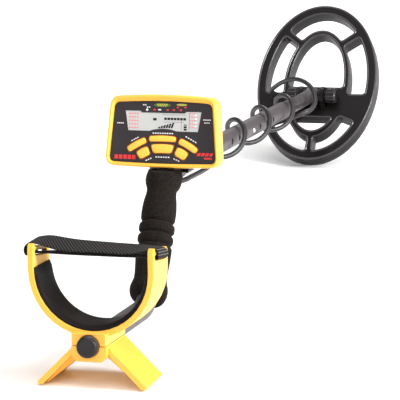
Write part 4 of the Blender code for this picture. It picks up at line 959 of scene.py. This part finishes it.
def label_print():
    """Plain strokes, dots and ovals in the places and colours of the face's print."""
    white = dashes((-48.5, 8.5), 8, 1.1, 4)
    white += dashes((49.5, 14.0), 9, 1.1, 4) + dashes((49.5, 10.8), 7, 1.0, 3)
    white += dashes((0.0, -1.6), 24, 1.2, 9)
    white += dashes((-31.5, -8.6), 10, 1.1, 4, 29) + dashes((32.0, -7.6), 15, 1.1, 5, -28)
    white += dashes((-15.5, -30.2), 8, 1.2, 3, 24) + dashes((0.2, -27.4), 17, 1.2, 6)
    white += dashes((16.0, -30.0), 8, 1.2, 3, -22)
    white += [oval((-18.4, 23.6), 2.6, 2.6), bar((-4.2, 23.8), 3.4, 1.3)]
    white += dashes((-21.3, 28.8), 4.6, 1.2, 2) + dashes((-16.9, 26.4), 4.6, 1.2, 2)
    printed("label_print_white", white, LABEL_Z, "print_white")
    red = [bar((-52.5 + 5.0 * i, -28.2), 3.9, 4.6) for i in range(5)]
    red += [bar((41.2 + 4.6 * i, -23.4), 3.5, 3.4, 0, 26) for i in range(4)] + [bar((51.5, -27.6), 9, 2.0)]
    red += [oval((x, 23.8), 2.6, 2.0) for x in (-9.9, 4.9, 11.8, 19.8)]
    red += [oval((x, 26.8), 2.6, 1.8) for x in (16.4, 25.0)]
    printed("label_print_red", red, LABEL_Z, "print_red")
    printed("label_print_green", [oval((-1.3, 28.9), 19, 4.2)], LABEL_Z, "print_green")
    printed("label_print_olive", [oval((20.8, 29.6), 12, 2.4)], LABEL_Z, "print_olive")
    gold = dashes((-1.3, 29.7), 13, 0.8, 5) + dashes((-1.3, 28.2), 11, 0.8, 4)
    printed("label_print_gold", gold, LABEL_Z + 0.06 * MM, "print_yellow")


def display():
    """The pale window with its printed scales and the dark segments behind the glass."""
    bm = bmesh.new()
    loft(bm, [ring_at(lcd_outline(0.1 * MM), z) for z in (LCD_BACK_Z, LCD_Z)])
    piece("lcd_window_glass", bm, FACE, "upper_stem", "lcd_glass", ("lcd_window",),
          smooth=False)
    dark = [bar((-9.5, 13.4), 4.0, 2.6)]
    dark += [bar((2.6 + 3.6 * i, 14.2), 3.0, 2.6) for i in range(7)]
    dark += [bar((-4.4 + 3.0 * i, 4.6 + 0.5 * i), 2.1, 1.8 + 0.8 * i, 0, 20) for i in range(6)]
    dark += [bar((25.0, 8.0), 3.4, 1.1), bar((25.0, 5.6), 3.4, 2.2), bar((25.0, 3.0), 3.4, 2.0)]
    printed("lcd_segments", dark, LCD_Z, "lcd_segment")
    pink = []
    for y in (19.2, 15.4, 11.6, 7.8, 4.0):
        pink += dashes((-33.5, y), 12, 1.5, 4)
    for i, y in enumerate((20.6, 16.8, 13.0, 9.2, 5.4)):
        pink += dashes((33.0, y), 8.5, 1.1, 3) + [bar((40.0, y), 1.1, 1.1)] * (i % 2)
    printed("lcd_scale_red", pink, LCD_Z, "print_pink")
    dots = [oval((36.6, y), 1.9, 1.9) for y in (18.8, 14.8, 10.8, 6.8)]
    printed("lcd_scale_white", dots, LCD_Z, "print_white")
    grey = [bar((20.5, 8.6), 0.5, 13), bar((29.4, 11.5), 0.5, 19)] + dashes((12.0, 18.6), 26, 0.7, 12)
    grey += dashes((12.0, 10.6), 24, 0.6, 10)
    printed("lcd_scale_grey", grey, LCD_Z, "print_grey")


def key_rims():
    """A thin orange ring round each key, standing on the label: painted shade for the keys' shaded flanks.
    """
    bm = bmesh.new()
    for key in KEYS:
        lower, upper = LABEL_Z + INK_LIFT, LABEL_Z + 0.06 * MM
        sizes = ((KEY_GAP, lower), (KEY_RIM, lower), (KEY_RIM, upper), (KEY_GAP, upper))
        rows = [ring_verts(bm, key_outline(key, grow), z) for grow, z in sizes]
        for first, second in zip(rows, rows[1:] + rows[:1]):
            bridge_rings(bm, first, second)
    piece("key_painted_shade_rings", bm, FACE, "upper_stem", "orange_painted_shade", smooth=False)


def keys():
    """Soft key caps: bright crowned tops, flanks in a deeper orange that is painted shade."""
    for key in KEYS:
        levels = [(0.75, -5.8), (0.75, -4.3), (0.0, -4.3), (0.0, -0.2), (-0.1, 0.3), (-0.35, 0.62),
                  (-0.8, 0.86), (-1.5, 0.97)]
        bm = bmesh.new()
        loft(bm, [ring_at(key_outline(key, grow * MM), z * MM) for grow, z in levels])
        bm.faces.ensure_lookup_table()
        # Faces below the crown take the deeper orange: painted shade on the flanks.
        for face in bm.faces:
            if max(v.co.z for v in face.verts) < 0.4 * MM:
                face.material_index = 1
        ob = piece(key + "_cap", bm, FACE, key, "yellow_key", (key,), sharp=50)
        ob.data.materials.append(MATERIALS["orange_painted_shade"])


def box_rear():
    for node, bevel in (("rear_housing", 0.8), ("battery_door", 0.4), ("stem_saddle", 0.5),
                        ("saddle_strap", 0.5), ("cable_plug", 0.4), ("plug_ring", 0.3),
                        ("headphone_socket", 0.3)):
        refine(node, "black_plastic", bevel * MM)
    for side in ("left", "right"):
        refine("saddle_screw_" + side, "steel", 0.2 * MM)


# ---------------------------------------------------------------- coil

def ellipse(axes, centre_y, count, start, stop):
    """Points on an arc of an ellipse centred on X = 0, both ends included; angles in degrees."""
    angles = [math.radians(start + (stop - start) * i / (count - 1)) for i in range(count)]
    return [(axes[0] * math.cos(a), centre_y + axes[1] * math.sin(a)) for a in angles]


def soften(points, radius, steps=7):
    """Round the corners of a closed 2D outline that turn by more than 30 degrees."""
    out = []
    count = len(points)
    for i, point in enumerate(points):
        here = Vector(point)
        back = Vector(points[i - 1]) - here
        ahead = Vector(points[(i + 1) % count]) - here
        if math.pi - back.angle(ahead) < math.radians(30):
            out.append(here)
            continue
        first = here + back.normalized() * min(radius, 0.9 * back.length)
        last = here + ahead.normalized() * min(radius, 0.9 * ahead.length)
        for k in range(steps + 1):
            t = k / steps
            out.append(first * (1 - t) ** 2 + here * (2 * t * (1 - t)) + last * t ** 2)
    return out


def between_ellipses(ring_from, ring_to, hoop_from, hoop_to):
    """An opening between the outer ring and the inner hoop."""
    ring = ellipse(RING_INSIDE, COIL_CENTRE_Y, 25, ring_from, ring_to)
    hoop = ellipse(HOOP_OUTSIDE, COIL_CENTRE_Y - 2.5 * MM, 17, hoop_to, hoop_from)
    return soften(ring + hoop, 4.5 * MM)


def hoop_segment(start, stop):
    """An opening inside the hoop, closed by a straight edge of the hub."""
    return soften(ellipse(HOOP_INSIDE, COIL_CENTRE_Y - 1 * MM, 31, start, stop), 5.0 * MM)


def coil_openings():
    side = between_ellipses(41.5, -9.5, 44.5, -10.5)
    heel = between_ellipses(-35.0, -86.0, -37.0, -84.5)
    crown = between_ellipses(48.5, 131.5, 53.0, 127.0)
    others = [[Vector((-p.x, p.y)) for p in reversed(shape)] for shape in (side, heel)]
    return [crown, side, heel, hoop_segment(-5.5, 185.5), hoop_segment(-133.0, -47.0)] + others


def grown(points, distance):
    """A closed outline moved outwards by a distance, square to its edges."""
    area = sum(points[i - 1].cross(points[i]) for i in range(len(points)))
    sign = 1 if area > 0 else -1
    out = []
    for i, point in enumerate(points):
        ahead = (points[(i + 1) % len(points)] - points[i - 1]).normalized()
        out.append(point + Vector((ahead.y, -ahead.x)) * (sign * distance))
    return out


LIP = (
    # Distance in from an edge and height over the coil's top face: a rounded lip along every edge.
    (0.0, -1.2), (0.12, -0.4), (0.4, 0.25), (0.85, 0.65), (1.4, 0.8), (2.0, 0.65), (2.45, 0.25), (2.75, 0.0),
    (3.0, 0.0))


def coil_shell():
    """The moulding over the windings, with lips round all its edges and a parting groove."""
    bottom = COIL_TOP_Z - COIL_THICKNESS + COVER_THICKNESS + GAP
    outer = [Vector(p) for p in ellipse(COIL_OUTER, COIL_CENTRE_Y, 145, 0, 360)[:-1]]
    top = [(inset * MM, COIL_TOP_Z + lift * MM) for inset, lift in LIP]
    side = [(0.0, bottom), (0.0, GROOVE_Z - 0.7 * MM), (0.6 * MM, GROOVE_Z - 0.3 * MM),
            (0.6 * MM, GROOVE_Z + 0.3 * MM), (0.0, GROOVE_Z + 0.7 * MM)]
    edges = [(outer, -1, side + top)] + [(hole, 1, side[:1] + top) for hole in coil_openings()]
    bm = bmesh.new()
    tops, bottoms = [], []
    for shape, sign, profile in edges:
        rows = [[bm.verts.new((p.x, p.y, z)) for p in grown(shape, sign * inset)] for inset, z in profile]
        for lower, upper in zip(rows, rows[1:]):
            bridge_rings(bm, lower, upper)
        # Only the lip takes the edge material, glossier and lighter as a painted highlight: the walls below
        # it and the flat inside it keep the grain.
        for face in {face for row in rows[1 - len(LIP):-2] for vert in row for face in vert.link_faces}:
            face.material_index = 1
        bottoms.append(rows[0])
        tops.append(rows[-1])
    face_with_holes(bm, tops[0], tops[1:])
    face_with_holes(bm, bottoms[0], bottoms[1:])
    shell = piece("coil_shell_finish", bm, COIL, "search_coil", "coil_plastic",
                  ("coil_shell",), sharp=50)
    shell.data.materials.append(MATERIALS["coil_edge_painted_highlight"])


def yoke_ears():
    """The two ears that stand on the shell, with rounded edges."""
    bm = bmesh.new()
    bm.from_mesh(frame["nodes"]["coil_shell"].data)
    bmesh.ops.transform(bm, matrix=COIL.inverted(), verts=bm.verts)
    foot = COIL_TOP_Z + 0.1 * MM
    everything = bm.verts[:] + bm.edges[:] + bm.faces[:]
    bmesh.ops.bisect_plane(bm, geom=everything, plane_co=(0, 0, foot), plane_no=(0, 0, 1), clear_inner=True)
    bmesh.ops.holes_fill(bm, edges=[e for e in bm.edges if e.is_boundary])
    bmesh.ops.dissolve_limit(bm, angle_limit=math.radians(0.6), verts=bm.verts, edges=bm.edges)
    for vert in bm.verts:
        if vert.co.z < foot + 0.01 * MM:
            vert.co.z -= 1 * MM
    ears = piece("yoke_ears", bm, COIL, "search_coil", "coil_plastic")
    # The rounds take the lighter edge material: painted highlight.
    round_edges(ears, 0.7 * MM, 3, 28.0, "coil_edge_painted_highlight")


def coil():
    coil_shell()
    yoke_ears()
    # The cover and hand nuts get the lighter edge material on their rounds: painted highlight.
    refine("coil_cover", "coil_plastic", 0.7 * MM, 2, edge="coil_edge_painted_highlight")
    refine("yoke_rod", "black_plastic", 0.3 * MM)
    for side in ("left", "right"):
        refine("yoke_washer_" + side, "rubber", 0.3 * MM)
        refine("hand_nut_" + side, "black_plastic", 0.5 * MM, 2, edge="coil_edge_painted_highlight")
    refine("cable_gland", "rubber", 0.4 * MM)


# ---------------------------------------------------------------- coil cable

def wind_point(y):
    """The cable's centre where it passes y in its turns round the stem."""
    angle = math.pi / 2 + 2 * math.pi * (y - WIND_TOP_Y) / WIND_PITCH
    return Vector((WIND_RADIUS * math.cos(angle), y, WIND_RADIUS * math.sin(angle)))


def tube_mesh(path, radius, sides):
    """A round tube along a path, its rings carried without twist and its ends capped."""
    rings = []
    ahead = (path[1] - path[0]).normalized()
    across = ahead.orthogonal().normalized()
    for i, point in enumerate(path):
        ahead = (path[min(i + 1, len(path) - 1)] - path[max(i - 1, 0)]).normalized()
        across = (across - ahead * across.dot(ahead)).normalized()
        rings.append(circle(point, radius, across, ahead.cross(across), sides))
    bm = bmesh.new()
    loft(bm, rings)
    return bm


def cable_routes():
    """Both lengths of the cable: plug to the lower stem in turns, and on in a loop to the gland."""
    face_to_stem = STEM.inverted() @ FACE
    coil_to_stem = STEM.inverted() @ COIL
    plug_end, plug_lead = [face_to_stem @ Vector((*SOCKET_PLACE, REAR_BACK_Z - PLUG_LENGTH - reach))
                           for reach in (CABLE_GAP, PLUG_LEAD)]
    lead = [Vector(p) * MM for p in ((-44, 98, 3), (-43, 92, -8), (-37, 75, -12), (-30, 58, -12.5),
                                     (-19, 49, -15.5), (-6, 52, -18.5), (3, 64, -18.5), (6, 82, -17.5),
                                     (7.5, 102, -17))]
    route = [plug_end, plug_lead] + lead
    y = WIND_START_Y
    while y < WIND_END_Y - 4 * MM:
        route.append(wind_point(y))
        y += WIND_PITCH / 12
    route += [wind_point(WIND_END_Y - 3 * MM), wind_point(WIND_END_Y)]

    gland_end = coil_to_stem @ (GLAND_PLACE + Vector((0, 0, GLAND_HEIGHT + CABLE_GAP)))
    gland_lead = coil_to_stem @ (GLAND_PLACE + Vector((0.5 * MM, 0, GLAND_HEIGHT + GLAND_LEAD)))
    first = WIND_END_Y + 0.05 * MM
    loop = [wind_point(first), wind_point(first + 3 * MM)]
    loop += [Vector(p) * MM for p in (
        (-17.5, 547, 1.5), (-14.5, 553, -9.5), (-4, 558.5, -15.5), (7, 561, -13.5), (16, 566, -9.5),
        (22, 574, -6.5), (25.3, 583, -0.2), (24.3, 590, 5.9), (21.1, 597, 12.2), (15.4, 604, 19),
        (7.3, 611, 24), (-2.7, 618, 26.8), (-12.5, 625, 27), (-23, 634, 24.9), (-34.2, 645, 20),
        (-43.4, 655, 15))]
    loop += [gland_lead, gland_end]
    return route, loop


def cables():
    """The coil cable in two lengths that meet on the stem; each is baked into the row frame on no body."""
    route, loop = cable_routes()
    crossings = (
        ("coil_cable_wound", route, "coil_cable", ("upper_stem", "lower_stem"),
         (0, 250 * MM, 0), (0, 521 * MM, 0)),
        ("coil_cable_end", loop, "coil_cable_loop", ("lower_stem", "search_coil"),
         (0, 560 * MM, 0), (-50 * MM, 664 * MM, 8 * MM)))
    for name, points, node, bodies, start, end in crossings:
        path = smooth_curve(points, 3.0 * MM)
        ob = piece(name, tube_mesh(path, CABLE_RADIUS, 20), STEM, None, "cable_jacket",
                   (node,), sharp=60)
        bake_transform(ob)


# ---------------------------------------------------------------- put together

def inner_parts():
    """Parts seen only through openings or with the door open keep their CAD shape."""
    for node, material in (("lcd_module", "steel"), ("circuit_board", "board"), ("loudspeaker", "steel"),
                           ("battery_tray", "black_plastic"), ("battery_contacts_lower", "steel"),
                           ("battery_contacts_upper", "steel"), ("cable_socket", "steel"),
                           ("upper_snap_spring", "steel"), ("lower_snap_spring", "steel"),
                           ("transmit_winding", "copper"), ("receive_winding", "copper"),
                           *((f"aa_cell_{i}", "cell_wrap") for i in range(1, 5))):
        mesh = frame["nodes"][node].data
        mesh.materials.clear()
        mesh.materials.append(MATERIALS[material])


camera()
make_materials()
cables()
studio()
tubes()
tube_end_plug()
foam_grip()
cuff_and_stand()
cuff_pad()
cuff_strap()
front_housing()
label_plate()
label_print()
display()
key_rims()
keys()
box_rear()
coil()
inner_parts()
